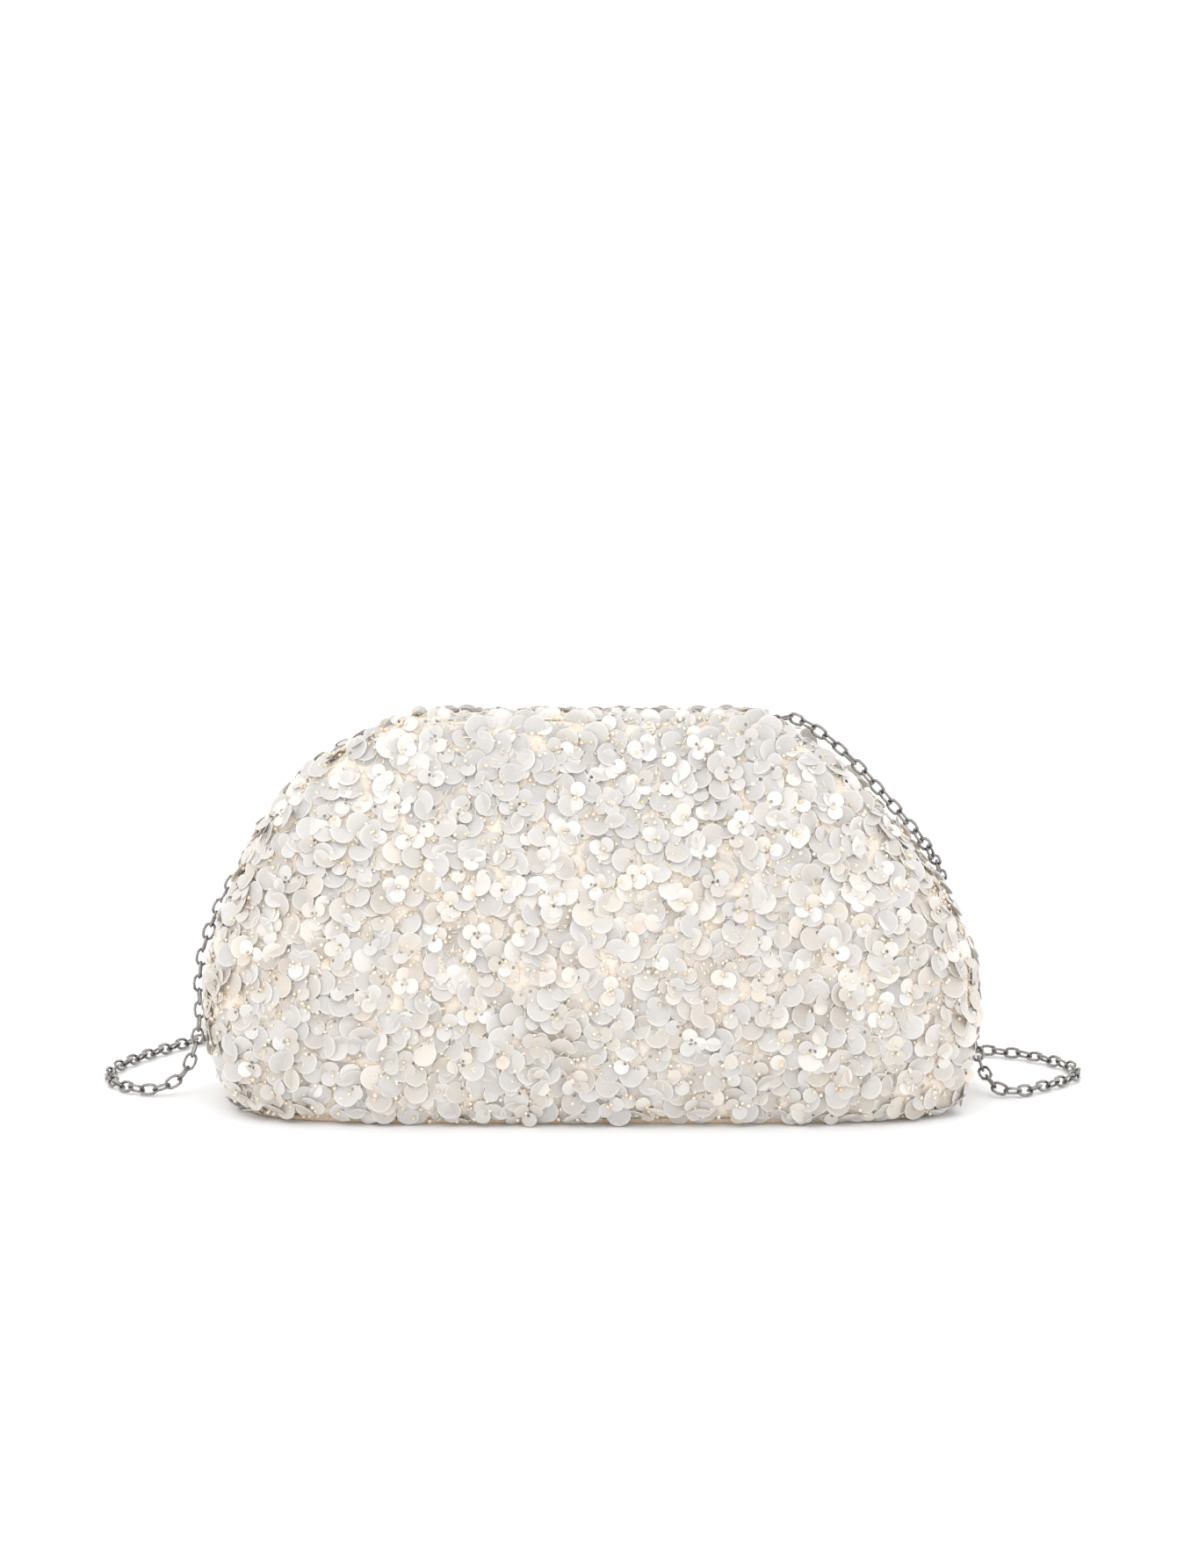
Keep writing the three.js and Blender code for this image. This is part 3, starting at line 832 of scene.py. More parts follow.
@dataclass
class ChainRoute:
    """The middle line of the strap, in millimetres, from ring to ring."""

    points: tuple[tuple[float, float, float], ...] = (
        (43.9, 14.6, 121.2), (50, 15, 120.8), (57, 13.8, 121.8), (63, 10.2, 124.2),
        (68.6, 6.8, 122.9), (75.8, 4.6, 118.2), (85, 4, 109.9), (92.1, 3.8, 101.9),
        (99.3, 4.2, 93.6), (105.1, 6, 86.4), (110.5, 11.8, 78.2), (113.9, 19.2, 69.5),
        (115, 25.2, 60.5), (115.9, 29.2, 50.5), (118, 30.6, 40.5), (121, 29.5, 30.5),
        (124.1, 24.8, 21.2), (126, 16.5, 13), (128, 7.5, 6.8), (132.5, 0.6, 2.9),
        (139.5, 0.4, 2.2), (146.5, 6, 2.2), (153.5, 12.5, 2.2), (159, 20.5, 2.2), (159.5, 30, 2.2),
        (154, 39.5, 2.2), (146, 48, 2.2), (136, 53.5, 2.2), (125, 58, 2.2), (114, 66.5, 2.2),
        (109.5, 82, 2.2), (105, 99, 2.2), (91, 108.5, 2.2), (77, 101, 2.2), (71.5, 84, 2.2),
        (62, 69, 2.2), (47, 63, 2.2), (35, 75, 2.2), (34, 95, 2.2), (24, 113, 2.2), (7, 120, 2.2),
        (-8, 110, 2.2), (-7, 91, 2.2), (-13, 72, 2.2), (-29, 61, 2.2), (-43, 71, 2.2),
        (-42, 90, 2.2), (-49, 108, 2.2), (-65, 116, 2.2), (-80, 106, 2.2), (-84, 88, 2.2),
        (-93, 75, 2.2), (-106, 74.5, 2.2), (-118, 78, 2.2), (-129, 74.5, 2.2), (-138, 65.5, 2.2),
        (-146.5, 54, 2.2), (-154, 42, 2.2), (-159.3, 29, 2.2), (-159, 15.5, 2.2), (-152, 5, 2.2),
        (-142.5, 1.8, 2.6), (-134.8, 4.4, 6.4), (-130.6, 7.5, 15), (-129, 9.5, 26),
        (-129.1, 11.5, 36), (-127.8, 15, 46.5), (-123.8, 18.5, 57.5), (-118, 21, 68.5),
        (-110.5, 22, 79.5), (-103.9, 21, 90.5), (-97.5, 19.6, 100), (-91.2, 18.1, 106.8),
        (-85, 17, 111.4), (-78.8, 16.2, 114.9), (-72.3, 15.7, 117.5), (-65.4, 15.4, 119.6),
        (-58, 15.1, 120.7), (-51.1, 14.6, 121.2))

    def line(self, step: float) -> np.ndarray:
        """The smooth middle line, as evenly spaced points.

        Args:
            step: Distance between two points, in metres.

        Returns:
            The points, in metres.
        """
        given = np.array(self.points) * MM
        given = np.vstack([2 * given[0] - given[1], given, 2 * given[-1] - given[-2]])
        curve = []
        for i in range(1, len(given) - 2):
            p0, p1, p2, p3 = given[i - 1 : i + 3]
            d0, d1, d2 = (math.sqrt(float(np.linalg.norm(b - a)))
                          for a, b in ((p0, p1), (p1, p2), (p2, p3)))
            lead = ((p1 - p0) / d0 - (p2 - p0) / (d0 + d1) + (p2 - p1) / d1) * d1
            trail = ((p2 - p1) / d1 - (p3 - p1) / (d1 + d2) + (p3 - p2) / d2) * d1
            t = np.linspace(0, 1, 24, endpoint=False)[:, None]
            curve.append(p1 + lead * t + (3 * p2 - 3 * p1 - 2 * lead - trail) * t**2
                         + (2 * p1 - 2 * p2 + lead + trail) * t**3)
        dense = np.vstack([*curve, given[-2:-1]])
        along = np.concatenate([[0], np.cumsum(np.linalg.norm(np.diff(dense, axis=0), axis=1))])
        at = np.linspace(0, along[-1], round(along[-1] / step) + 1)
        return np.stack([np.interp(at, along, dense[:, k]) for k in range(3)], 1)


@dataclass
class ChainStrap:
    """The shoulder strap: a cable chain of oval wire links and its two end rings."""

    link_long: float = 6.3 * MM
    link_wide: float = 4.5 * MM
    wire: float = 1.0 * MM
    pitch: float = 4.35 * MM
    length: float = 0.9953
    ring_radius: float = 2.25 * MM
    ring_wire: float = 0.9 * MM
    route: ChainRoute = field(default_factory=ChainRoute)

    def ring_mesh(self, radius: float, wire: float, steps: int, sides: int) -> bmesh.types.BMesh:
        """A wire ring in the XY plane.

        Args:
            radius: From the middle to the wire's middle.
            wire: Diameter of the wire.
            steps: Facets round the ring.
            sides: Facets round the wire.

        Returns:
            The bmesh.
        """
        bm = bmesh.new()
        place = Matrix.Translation((radius, 0, 0)) @ Matrix.Rotation(math.pi / 2, 4, "X")
        bmesh.ops.create_circle(bm, segments=sides, radius=wire / 2, matrix=place)
        bmesh.ops.spin(bm, geom=bm.verts[:] + bm.edges[:], axis=(0, 0, 1), cent=(0, 0, 0),
                       angle=2 * math.pi, steps=steps, use_merge=True)
        return bm

    def link_pattern(self) -> Pattern:
        """One oval link, long in X, with its bends marked as crevices."""
        radius = (self.link_wide - self.wire) / 2
        straight = (self.link_long - self.link_wide) / 2
        bm = self.ring_mesh(radius, self.wire, 12, 6)
        for vert in bm.verts:
            vert.co.x += straight * max(-1.0, min(1.0, vert.co.x / (radius * 0.5)))
        pattern = pattern_from(bm, "chain_link_pattern")
        x = np.abs(pattern.corners[:, 0])
        inner = np.linalg.norm(pattern.corners[:, :2] * [0.7, 1], axis=1) < radius
        pattern.marks["crevice"] = smooth_rise(x, straight, straight + radius) * (
            0.35 + 0.65 * inner)
        return pattern

    def make_links(self) -> bpy.types.Object:
        """The whole chain as one piece."""
        dense = self.route.line(self.pitch / 4)
        count = round((len(dense) - 1) / 4)
        rng = np.random.default_rng(11)
        side, _ = carried_frames(dense)
        frames = []
        for i in range(count):
            at = min(i * 4 + 2, len(dense) - 2)
            ahead = dense[at + 1] - dense[at - 1]
            ahead /= np.linalg.norm(ahead)
            # Links on the table lie rolled half way over, and hanging ones square.
            lying = dense[at][2] < 5 * MM
            level = np.cross(ahead, [0.0, 0.0, 1.0]) if lying else side[at]
            level /= np.linalg.norm(level)
            roll = math.radians(45 * lying + rng.normal(0, 8)) + (i % 2) * math.pi / 2
            beside = level * math.cos(roll) + np.cross(level, ahead) * math.sin(roll)
            frames.append(np.stack([ahead, beside, np.cross(ahead, beside), dense[at]], 1))
        chain = repeat("chain_strap", self.link_pattern(), np.array(frames), {})
        dress(chain, CHAIN_STEEL)
        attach(chain, BAG)
        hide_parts("strap_chain")
        line = self.route.line(3 * MM)
        return chain

    def make_ring(self, word: str) -> bpy.types.Object:
        """The smooth ring that hangs in one lug, in the CAD ring's place."""
        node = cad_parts[f"chain_ring_{word}"]
        corners = np.array([v.co for v in node.data.vertices])
        low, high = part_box(f"chain_ring_{word}")
        middle = np.array((low + high) / 2)
        _, axes = np.linalg.eigh(np.cov((corners - middle).T))
        bm = self.ring_mesh(self.ring_radius, self.ring_wire, 40, 14)
        turn = Matrix(np.stack([axes[:, 2], axes[:, 1],
                                np.cross(axes[:, 2], axes[:, 1])], 1).tolist())
        bmesh.ops.transform(bm, matrix=Matrix.Translation(middle) @ turn.to_4x4(),
                            verts=bm.verts)
        bmesh.ops.recalc_face_normals(bm, faces=bm.faces)
        for face in bm.faces:
            face.smooth = True
        ring = dress(finish_mesh(f"strap_ring_{word}", bm), CHAIN_STEEL)
        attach(ring, f"ring_{word}")
        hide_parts(f"chain_ring_{word}")
        return ring


# ---------------------------------------------------------------- cloth and padding


@dataclass
class Body:
    """The sewn body of the bag: covers, wadding, base, linings, facings and pocket."""

    form: Form
    cover_inset: float = 2.7 * MM
    cover_thick: float = 0.45 * MM
    foam_inset: float = 3.2 * MM
    foam_thick: float = 1.9 * MM
    foam_top: float = 84 * MM
    lining_inset: float = 5.7 * MM
    lining_thick: float = 0.5 * MM
    lining_top: float = 104 * MM
    lining_slack: float = 0.5 * MM
    arch_shrink: tuple[float, float] = (0.86, 0.56)
    hinge_height: float = 94 * MM
    piping_radius: float = 0.9 * MM
    piping_height: float = 1.4 * MM
    piping_inset: float = 3.7 * MM
    pocket_inset: float = 7.0 * MM
    pocket_slack: float = 2.2 * MM
    pocket_flat: tuple[float, float] = (0.0905, 0.0535)

    def cross_mouth(self, piece: bpy.types.Object, side: Side) -> None:
        """Rides the back on the bag, and bakes the front's placing into its mesh."""
        if side is Side.FRONT:
            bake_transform(piece)
        else:
            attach(piece, BAG)

    def cloth_surface(self, side: Side, rows: int = 80,
                      columns: int = 200) -> tuple[np.ndarray, np.ndarray]:
        """The outside of one cover's ground cloth, lifted by its padding.

        Args:
            side: Front or back.
            rows: Points up the cloth.
            columns: Points across it.

        Returns:
            Its points and normals.
        """
        grid, normals = self.form.half_shell(side, 0.8 * MM, self.form.height, rows, columns)
        swell = np.array([[soft_swell(p) for p in row] for row in grid])
        return self.form.inset(side, grid, normals, self.cover_inset - swell), normals

    def make_cover(self, side: Side) -> bpy.types.Object:
        """One ground cloth, from the base seam over the shoulder to the mouth."""
        points, normals = self.cloth_surface(side)
        cover = lay_grid(f"{side.word}_cover_cloth", points, normals)
        thicken(cover, self.cover_thick)
        dress(cover, GROUND_CLOTH)
        self.cross_mouth(cover, side)
        stood_for = {Side.FRONT: ("front_cover_lower", "front_cover_upper"),
                     Side.BACK: ("back_cover",)}[side]
        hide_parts(*stood_for)
        return cover

    def make_wadding(self, side: Side) -> bpy.types.Object:
        """The foam behind one cover, soft and slightly uneven."""
        grid, normals = self.form.half_shell(side, 5.6 * MM, self.foam_top, 44, 120)
        swell = np.array([[soft_swell(p * 1.2) for p in row] for row in grid]) * 0.3
        points = self.form.inset(side, grid, normals, self.foam_inset - swell + 0.3 * MM)
        pad = lay_grid(f"{side.word}_wadding", points, normals)
        thicken(pad, self.foam_thick - 0.2 * MM)
        dress(pad, WADDING_FOAM)
        self.cross_mouth(pad, side)
        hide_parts(f"{side.word}_padding")
        return pad

    def make_lining(self, side: Side) -> bpy.types.Object:
        """One lining panel, from the floor of the bag up and in to the facing's edge."""
        columns, slope_rows = 160, 11
        grid, normals = self.form.half_shell(side, 5.8 * MM, self.lining_top, 60, columns)
        crease = np.array([[noise.noise(Vector(p) / (18 * MM)) for p in row] for row in grid])
        wall = self.form.inset(side, grid, normals,
                               self.lining_inset + self.lining_slack * np.maximum(crease, 0))
        arch = self.form.mouth_line(columns, self.hinge_height, self.arch_shrink)
        arch[:, 1] = side.value * 0.9 * MM
        share = np.linspace(0, 1, slope_rows + 1)[1:, None, None]
        rise = np.sin(share * math.pi / 2)
        slope = wall[-1] * (1 - share) + arch * share
        slope[..., 2] = (wall[-1] * (1 - rise) + arch * rise)[..., 2]
        points = np.concatenate([wall, slope])
        outward = np.concatenate([normals, np.repeat(normals[-1:], slope_rows, 0)])
        lining = lay_grid(f"{side.word}_lining_satin", points, outward)
        thicken(lining, self.lining_thick)
        dress(lining, LINING_SATIN)
        self.cross_mouth(lining, side)
        stood_for = {Side.FRONT: ("front_lining_lower", "front_lining_upper"),
                     Side.BACK: ("back_lining",)}[side]
        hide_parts(*stood_for)
        return lining

    def panel_from_node(self, node: str, name: str, bevel: float) -> bpy.types.Object:
        """A flat panel with softened edges, from a merged copy of its CAD node.

        Args:
            node: Name of the CAD node.
            name: Name of the new piece.
            bevel: Radius of its edges.

        Returns:
            The piece.
        """
        bm = bmesh.new()
        bm.from_mesh(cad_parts[node].data)
        bmesh.ops.remove_doubles(bm, verts=bm.verts, dist=1e-6)
        bmesh.ops.dissolve_limit(bm, angle_limit=math.radians(1), verts=bm.verts,
                                 edges=bm.edges)
        sharp = [e for e in bm.edges
                 if e.is_manifold and e.calc_face_angle() > math.radians(50)]
        bmesh.ops.bevel(bm, geom=sharp, offset=bevel, segments=3, profile=0.5,
                        affect="EDGES", material=-1)
        bmesh.ops.triangulate(bm, faces=[f for f in bm.faces if len(f.verts) > 4])
        chart = bm.loops.layers.uv.verify()
        for face in bm.faces:
            upright = abs(face.normal.z) < 0.7
            for loop in face.loops:
                at = loop.vert.co
                loop[chart].uv = (at.x, at.z if upright else at.y)
        piece = finish_mesh(name, bm)
        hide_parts(node)
        return piece

    def make_facing(self, side: Side) -> bpy.types.Object:
        """The satin band that covers one hoop inside the mouth."""
        node = f"{side.word}_facing"
        facing = self.panel_from_node(node, f"{side.word}_mouth_facing", 0.12 * MM)
        dress(facing, LINING_SATIN)
        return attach(facing, MOUTH if side is Side.FRONT else BAG)

    def make_base(self) -> list[bpy.types.Object]:
        """The flat base: a satin panel, its piping, and the lined floor inside."""
        panel = self.panel_from_node("base_cover", "base_panel", 0.8 * MM)
        dress(panel, BASE_SATIN)
        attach(panel, BAG)
        floor = self.panel_from_node("base_lining", "base_lining_satin", 0.2 * MM)
        dress(floor, LINING_SATIN)
        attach(floor, BAG)
        line = self.form.section(self.piping_height, 321, 0, 2 * math.pi)[:-1]
        middle = line.mean(0)
        out = line - middle
        out[:, 2] = 0
        flat = np.roll(line, -1, 0) - np.roll(line, 1, 0)
        beside = np.stack([flat[:, 1], -flat[:, 0], np.zeros(len(flat))], 1)
        beside /= np.linalg.norm(beside, axis=1, keepdims=True)
        beside *= np.sign((beside * out).sum(1, keepdims=True))
        piping = sweep("base_piping", line - beside * self.piping_inset, self.piping_radius,
                       10, True)
        dress(piping, BASE_SATIN)
        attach(piping, BAG)
        return [panel, floor, piping]

    def make_pocket(self) -> bpy.types.Object:
        """The slip pocket on the back lining, with its mouth a little slack."""
        low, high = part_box("slip_pocket")
        columns, rows = 46, 28
        x = np.linspace(low.x, high.x, columns)
        z = np.linspace(low.z, high.z, rows)
        points = np.zeros((rows, columns, 3))
        for j, height in enumerate(z):
            wide = float(self.form.half_width_at(height))
            deep = float(self.form.half_depth_at(height))
            power = self.form.squareness_at(float(height))
            reach = np.abs((x - float(self.form.lean_at(height))) / wide) ** power
            wall = deep * (1 - reach) ** (1 / power) - self.pocket_inset
            slope = (float(self.form.half_depth_at(height + MM)) - deep) / MM
            wall = wall - (math.hypot(1, slope) - 1) * self.pocket_inset
            slack = (j / (rows - 1)) ** 3 * np.cos(np.linspace(-1, 1, columns) * math.pi / 2)
            points[j] = np.stack([x, wall - slack * self.pocket_slack,
                                  np.full(columns, height)], 1)
        inward = np.zeros_like(points)
        inward[..., 1] = -1
        pocket = lay_grid("slip_pocket_satin", points, inward)
        thicken(pocket, 0.5 * MM)
        dress(pocket, LINING_SATIN)
        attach(pocket, BAG)
        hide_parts("slip_pocket")
        return pocket


# ---------------------------------------------------------------- sequins and beads


class SequinSize(Enum):
    """The two stock sizes of flat sequin on the bag, by diameter in millimetres."""

    LARGE = 8.0
    SMALL = 5.0

    @property
    def word(self) -> str:
        """The size's name in a piece's name."""
        return self.name.lower()


@dataclass
class Spots:
    """Places on the cloth where something is sewn on."""

    points: np.ndarray
    normals: np.ndarray

    def pick(self, chosen: np.ndarray) -> "Spots":
        """The chosen ones of these places."""
        return Spots(self.points[chosen], self.normals[chosen])


@dataclass
class Embroidery:
    """All that is sewn on the covers: sequins of two sizes, seed beads and thread."""

    body: Body
    large_spacing: float = 4.2 * MM
    small_spacing: float = 7.5 * MM
    trio_spacing: float = 10.5 * MM
    trio_spread: float = 0.9 * MM
    bead_spacing: float = 1.7 * MM
    thread_spacing: float = 1.9 * MM
    # How many places are drawn before those that stand too close are dropped.
    large_tries: int = 16000
    small_tries: int = 6000
    fine_tries: int = 9000
    # Shares of discs painted white as painted glints, where these are usual.
    painted_glint_large: float = 0.16
    painted_glint_small: float = 0.5
    holes_with_beads: float = 0.42
    bead_radius: float = 0.62 * MM
    hole_radius: float = 0.6 * MM
    film: float = 0.14 * MM
    floor_clearance: float = 0.3 * MM
    crown_clearance: float = -0.4 * MM

    def sequin_pattern(self, size: SequinSize) -> Pattern:
        """One punched disc: a thin shell with a hole near its edge.

        Args:
            size: Which stock size.

        Returns:
            The pattern, with its hole toward +Y and its face to +Z.
        """
        radius = size.value / 2 * MM
        sides = 16 if size is SequinSize.LARGE else 12
        bm = bmesh.new()
        bmesh.ops.create_circle(bm, segments=sides, radius=radius)
        bmesh.ops.create_circle(bm, segments=8, radius=self.hole_radius,
                                matrix=Matrix.Translation((0, self.hole_offset(size), 0)))
        bmesh.ops.bridge_loops(bm, edges=bm.edges[:])
        for vert in bm.verts:
            vert.co.z = -0.3 * MM * (vert.co.xy.length / radius) ** 2
        bmesh.ops.recalc_face_normals(bm, faces=bm.faces)
        bmesh.ops.solidify(bm, geom=bm.faces[:], thickness=self.film)
        pattern = pattern_from(bm, f"sequin_{size.word}_pattern")
        from_middle = np.linalg.norm(pattern.corners[:, :2], axis=1)
        # Marks 1 at the disc's outer edge and 0 at the hole, for the painted highlight on the cut
        # edge.
        pattern.marks["rim"] = (from_middle > radius * 0.97).astype(float)
        return pattern

    @staticmethod
    def hole_offset(size: SequinSize) -> float:
        """From a disc's middle to its hole."""
        return size.value * 0.31 * MM

    def bead_pattern(self) -> Pattern:
        """One round seed bead."""
        bm = bmesh.new()
        bmesh.ops.create_uvsphere(bm, u_segments=7, v_segments=5, radius=self.bead_radius)
        return pattern_from(bm, "seed_bead_pattern")

    def stitch_pattern(self) -> Pattern:
        """One bent stitch of thread, 2.4 mm long, arching up in +Z."""
        bm = bmesh.new()
        bmesh.ops.create_cone(bm, cap_ends=True, segments=5, radius1=0.2 * MM,
                              radius2=0.2 * MM, depth=2.4 * MM,
                              matrix=Matrix.Rotation(math.pi / 2, 4, "Y"))
        long_edges = [e for e in bm.edges if abs((e.verts[0].co - e.verts[1].co).x) > MM]
        bmesh.ops.subdivide_edges(bm, edges=long_edges, cuts=3)
        for vert in bm.verts:
            share = vert.co.x / (1.2 * MM)
            vert.co.z += 0.5 * MM * (1 - share * share)
        return pattern_from(bm, "stitch_pattern")

    def spots(self, side: Side, rng: np.random.Generator, tries: int) -> Spots:
        """Random places on one cover's cloth, even by area.

        Args:
            side: Front or back.
            rng: Seeded source of the draws.
            tries: How many places.

        Returns:
            The places, with the cloth's normals.
        """
        grid, normals = self.body.cloth_surface(side, 90, 220)
        a, b, c = grid[:-1, :-1], grid[:-1, 1:], grid[1:, :-1]
        area = np.linalg.norm(np.cross(b - a, c - a), axis=2).ravel()
        chosen = rng.choice(len(area), tries, p=area / area.sum())
        row, column = np.unravel_index(chosen, a.shape[:2])
        u, v = rng.random((2, tries, 1))

        def mixed(values: np.ndarray) -> np.ndarray:
            """Values between the four corners of each chosen cell."""
            low = values[row, column] * (1 - u) + values[row, column + 1] * u
            high = values[row + 1, column] * (1 - u) + values[row + 1, column + 1] * u
            return low * (1 - v) + high * v

        points, n = mixed(grid), mixed(normals)
        # Over the mouth's rim the sewing hangs outwards, most of all on the front.
        form = self.body.form
        outward = {Side.FRONT: 1.6, Side.BACK: 0.4}[side]
        n[:, 1] += side.value * outward * smooth_rise(points[:, 2], form.height - 15 * MM,
                                                      form.height - 3 * MM)
        return Spots(points, n / np.linalg.norm(n, axis=1, keepdims=True))

    @staticmethod
    def spread(spots: Spots, spacing: float, keep: Callable[[np.ndarray], float] | None,
               rng: np.random.Generator) -> Spots:
        """Keeps places that are at least a spacing apart.

        Args:
            spots: Candidate places.
            spacing: Least distance between two kept ones.
            keep: Chance of keeping a place by where it is, or None for all.
            rng: Seeded source of the draws.

        Returns:
            The kept places.
        """
        cells: dict[tuple[int, int, int], list[np.ndarray]] = {}
        kept = []
        draws = rng.random(len(spots.points))
        near = [(i, j, k) for i in (-1, 0, 1) for j in (-1, 0, 1) for k in (-1, 0, 1)]
        for index, point in enumerate(spots.points):
            if keep is not None and draws[index] > keep(point):
                continue
            cell = tuple(int(c) for c in np.floor(point / spacing))
            beside = [q for i, j, k in near
                      for q in cells.get((cell[0] + i, cell[1] + j, cell[2] + k), ())]
            if beside and np.min(np.linalg.norm(np.array(beside) - point, axis=1)) < spacing:
                continue
            cells.setdefault(cell, []).append(point)
            kept.append(index)
        return spots.pick(np.array(kept, int))

    def hang(self, spots: Spots, reach: np.ndarray, lift: np.ndarray, swing: np.ndarray,
             pitch: np.ndarray, roll: np.ndarray) -> np.ndarray:
        """Frames of discs that hang by their holes.

        Args:
            spots: Where each disc is sewn.
            reach: From each disc's place on the cloth to its middle.
            lift: Height of each hole above the cloth.
            swing: Turn of each disc in the cloth's plane, from straight down.
            pitch: Angle that its far edge stands off the cloth.
            roll: Turn about its own hanging line.

        Returns:
            One 3 by 4 frame for each disc.
        """
        n = spots.normals
        down = np.array([0.0, 0.0, -1.0]) + np.array([0.0, 1.0, 0.0]) * np.sign(
            spots.points[:, 1:2]) * 0.05
        fall = down - n * (down * n).sum(1, keepdims=True)
        fall /= np.linalg.norm(fall, axis=1, keepdims=True)
        beside = np.cross(n, fall)
        along = fall * np.cos(swing)[:, None] + beside * np.sin(swing)[:, None]
        hung = along * np.cos(pitch)[:, None] + n * np.sin(pitch)[:, None]
        y = -hung
        x = np.cross(y, n)
        x /= np.linalg.norm(x, axis=1, keepdims=True)
        z = np.cross(x, y)
        turn_x = x * np.cos(roll)[:, None] + z * np.sin(roll)[:, None]
        turn_z = z * np.cos(roll)[:, None] - x * np.sin(roll)[:, None]
        middle = spots.points + n * lift[:, None] - y * reach[:, None]
        return np.stack([turn_x, y, turn_z, middle], 2)

    def keep_between(self, frames: np.ndarray, reach: float) -> np.ndarray:
        """Moves the discs that would go through the table, or stand up over the mouth."""
        tall = reach * np.hypot(frames[:, 2, 0], frames[:, 2, 1])
        middle = frames[:, 2, 3]
        crown = self.body.form.height + self.crown_clearance
        middle -= np.maximum(0, middle + tall - crown)
        middle += np.maximum(0, self.floor_clearance - middle + tall)
        return frames

    def sew_on(self, name: str, side: Side, pattern: Pattern, frames: np.ndarray,
               values: dict[str, np.ndarray], finish: Finish) -> bpy.types.Object:
        """Makes one sewn-on piece, dresses it and lets it follow the cloth.

        Args:
            name: What is sewn on.
            side: Front or back.
            pattern: The small shape.
            frames: Where each copy goes.
            values: One number for each copy, by attribute name.
            finish: What it is made of.

        Returns:
            The piece.
        """
        piece = repeat(f"{side.word}_{name}", pattern, frames, values)
        dress(piece, finish)
        self.body.cross_mouth(piece, side)
        return piece

    def make_sequins(self, side: Side, size: SequinSize) -> tuple[bpy.types.Object, Spots]:
        """Sews one size of sequin over one side.

        Args:
            side: Front or back.
            size: Which stock size.

        Returns:
            The piece, and the places of its holes.
        """
        large = size is SequinSize.LARGE
        seed = {Side.FRONT: 21, Side.BACK: 57}[side] + int(size.value)
        rng = np.random.default_rng(seed)
        offset = self.hole_offset(size)
        if large:
            spots = self.spread(self.spots(side, rng, self.large_tries),
                                self.large_spacing, None, rng)
            count = len(spots.points)
            swing, reach = rng.normal(0, math.radians(85), count), np.full(count, offset)
            lift = rng.uniform(0.3, 1.2, count) * MM
        else:
            spots, swing, reach = self.small_places(side, rng)
            count = len(spots.points)
            lift = rng.uniform(0.9, 1.8, count) * MM
        pitch = np.radians(np.abs(rng.normal(3, 10 if large else 11, count)) + 3)
        roll = np.radians(rng.normal(0, 6 if large else 9, count))
        frames = self.hang(spots, reach, lift, swing, pitch, roll)
        frames[:, :, :3] *= rng.choice([1.0, 0.9], count, p=[0.7, 0.3])[:, None, None]
        frames = self.keep_between(frames, size.value / 2 * MM)
        # The discs are creamier towards the bottom and less so towards the top.
        cream_fade = 1 - 0.7 * smooth_rise(spots.points[:, 2], 60 * MM, 120 * MM)
        # The tone holds random milkiness, painted shade greyer near the top and painted white
        # glints.
        painted_glint_share = self.painted_glint_large if large else self.painted_glint_small
        values = {"tone": self.tones_with_painted_light(spots, painted_glint_share, rng), "gloss": rng.random(count),
                  "warmth": rng.beta(1.2, 2.0, count) * cream_fade}
        piece = self.sew_on(f"sequins_{size.word}", side, self.sequin_pattern(size), frames,
                            values, LARGE_FILM if large else SMALL_FILM)
        holes = Spots(frames[:, :, 3] + frames[:, :, 1] * offset, frames[:, :, 2])
        return piece, holes

    def small_places(self, side: Side, rng: np.random.Generator) -> tuple[
            Spots, np.ndarray, np.ndarray]:
        """Where the small sequins go: singly, and in trios round one knot.

        Args:
            side: Front or back.
            rng: Seeded source of the draws.

        Returns:
            Their places, their turns from straight down, and how far out each middle is.
        """
        single = self.spread(self.spots(side, rng, self.small_tries), self.small_spacing,
                             self.cluster_chance, rng)
        knots = self.spread(self.spots(side, rng, self.small_tries), self.trio_spacing,
                            self.cluster_chance, rng)
        alone, tied = len(single.points), len(knots.points)
        turns = np.repeat(rng.uniform(-math.pi, math.pi, tied), 3) + np.tile(
            [0, 2 * math.pi / 3, 4 * math.pi / 3], tied) + rng.normal(0, 0.2, tied * 3)
        spots = Spots(np.vstack([single.points, np.repeat(knots.points, 3, 0)]),
                      np.vstack([single.normals, np.repeat(knots.normals, 3, 0)]))
        swing = np.concatenate([rng.normal(0, math.radians(70), alone), turns])
        reach = self.hole_offset(SequinSize.SMALL) + np.concatenate(
            [np.zeros(alone), np.full(tied * 3, self.trio_spread)])
        return spots, swing, reach

    @staticmethod
    def tones_with_painted_light(spots: Spots, painted_glint_share: float, rng: np.random.Generator) -> np.ndarray:
        """Tone of each disc: milky at random, greyer near the top as painted shade, or white as a
        painted glint, most glints higher up in drifts.

        Args:
            spots: Where the discs are sewn.
            painted_glint_share: Share of discs painted white as painted glints where they are
                usual.
            rng: Seeded source of the draws.

        Returns:
            One tone for each disc, 0 grey and 1 white, with painted shade and painted glints in
            it.
        """
        count = len(spots.points)
        # Painted shade: discs near the top are painted greyer, as the top gets less light.
        top = smooth_rise(spots.points[:, 2], 85 * MM, 122 * MM)
        milky = rng.beta(2.2, 2.2, count) * (0.7 - 0.4 * top)
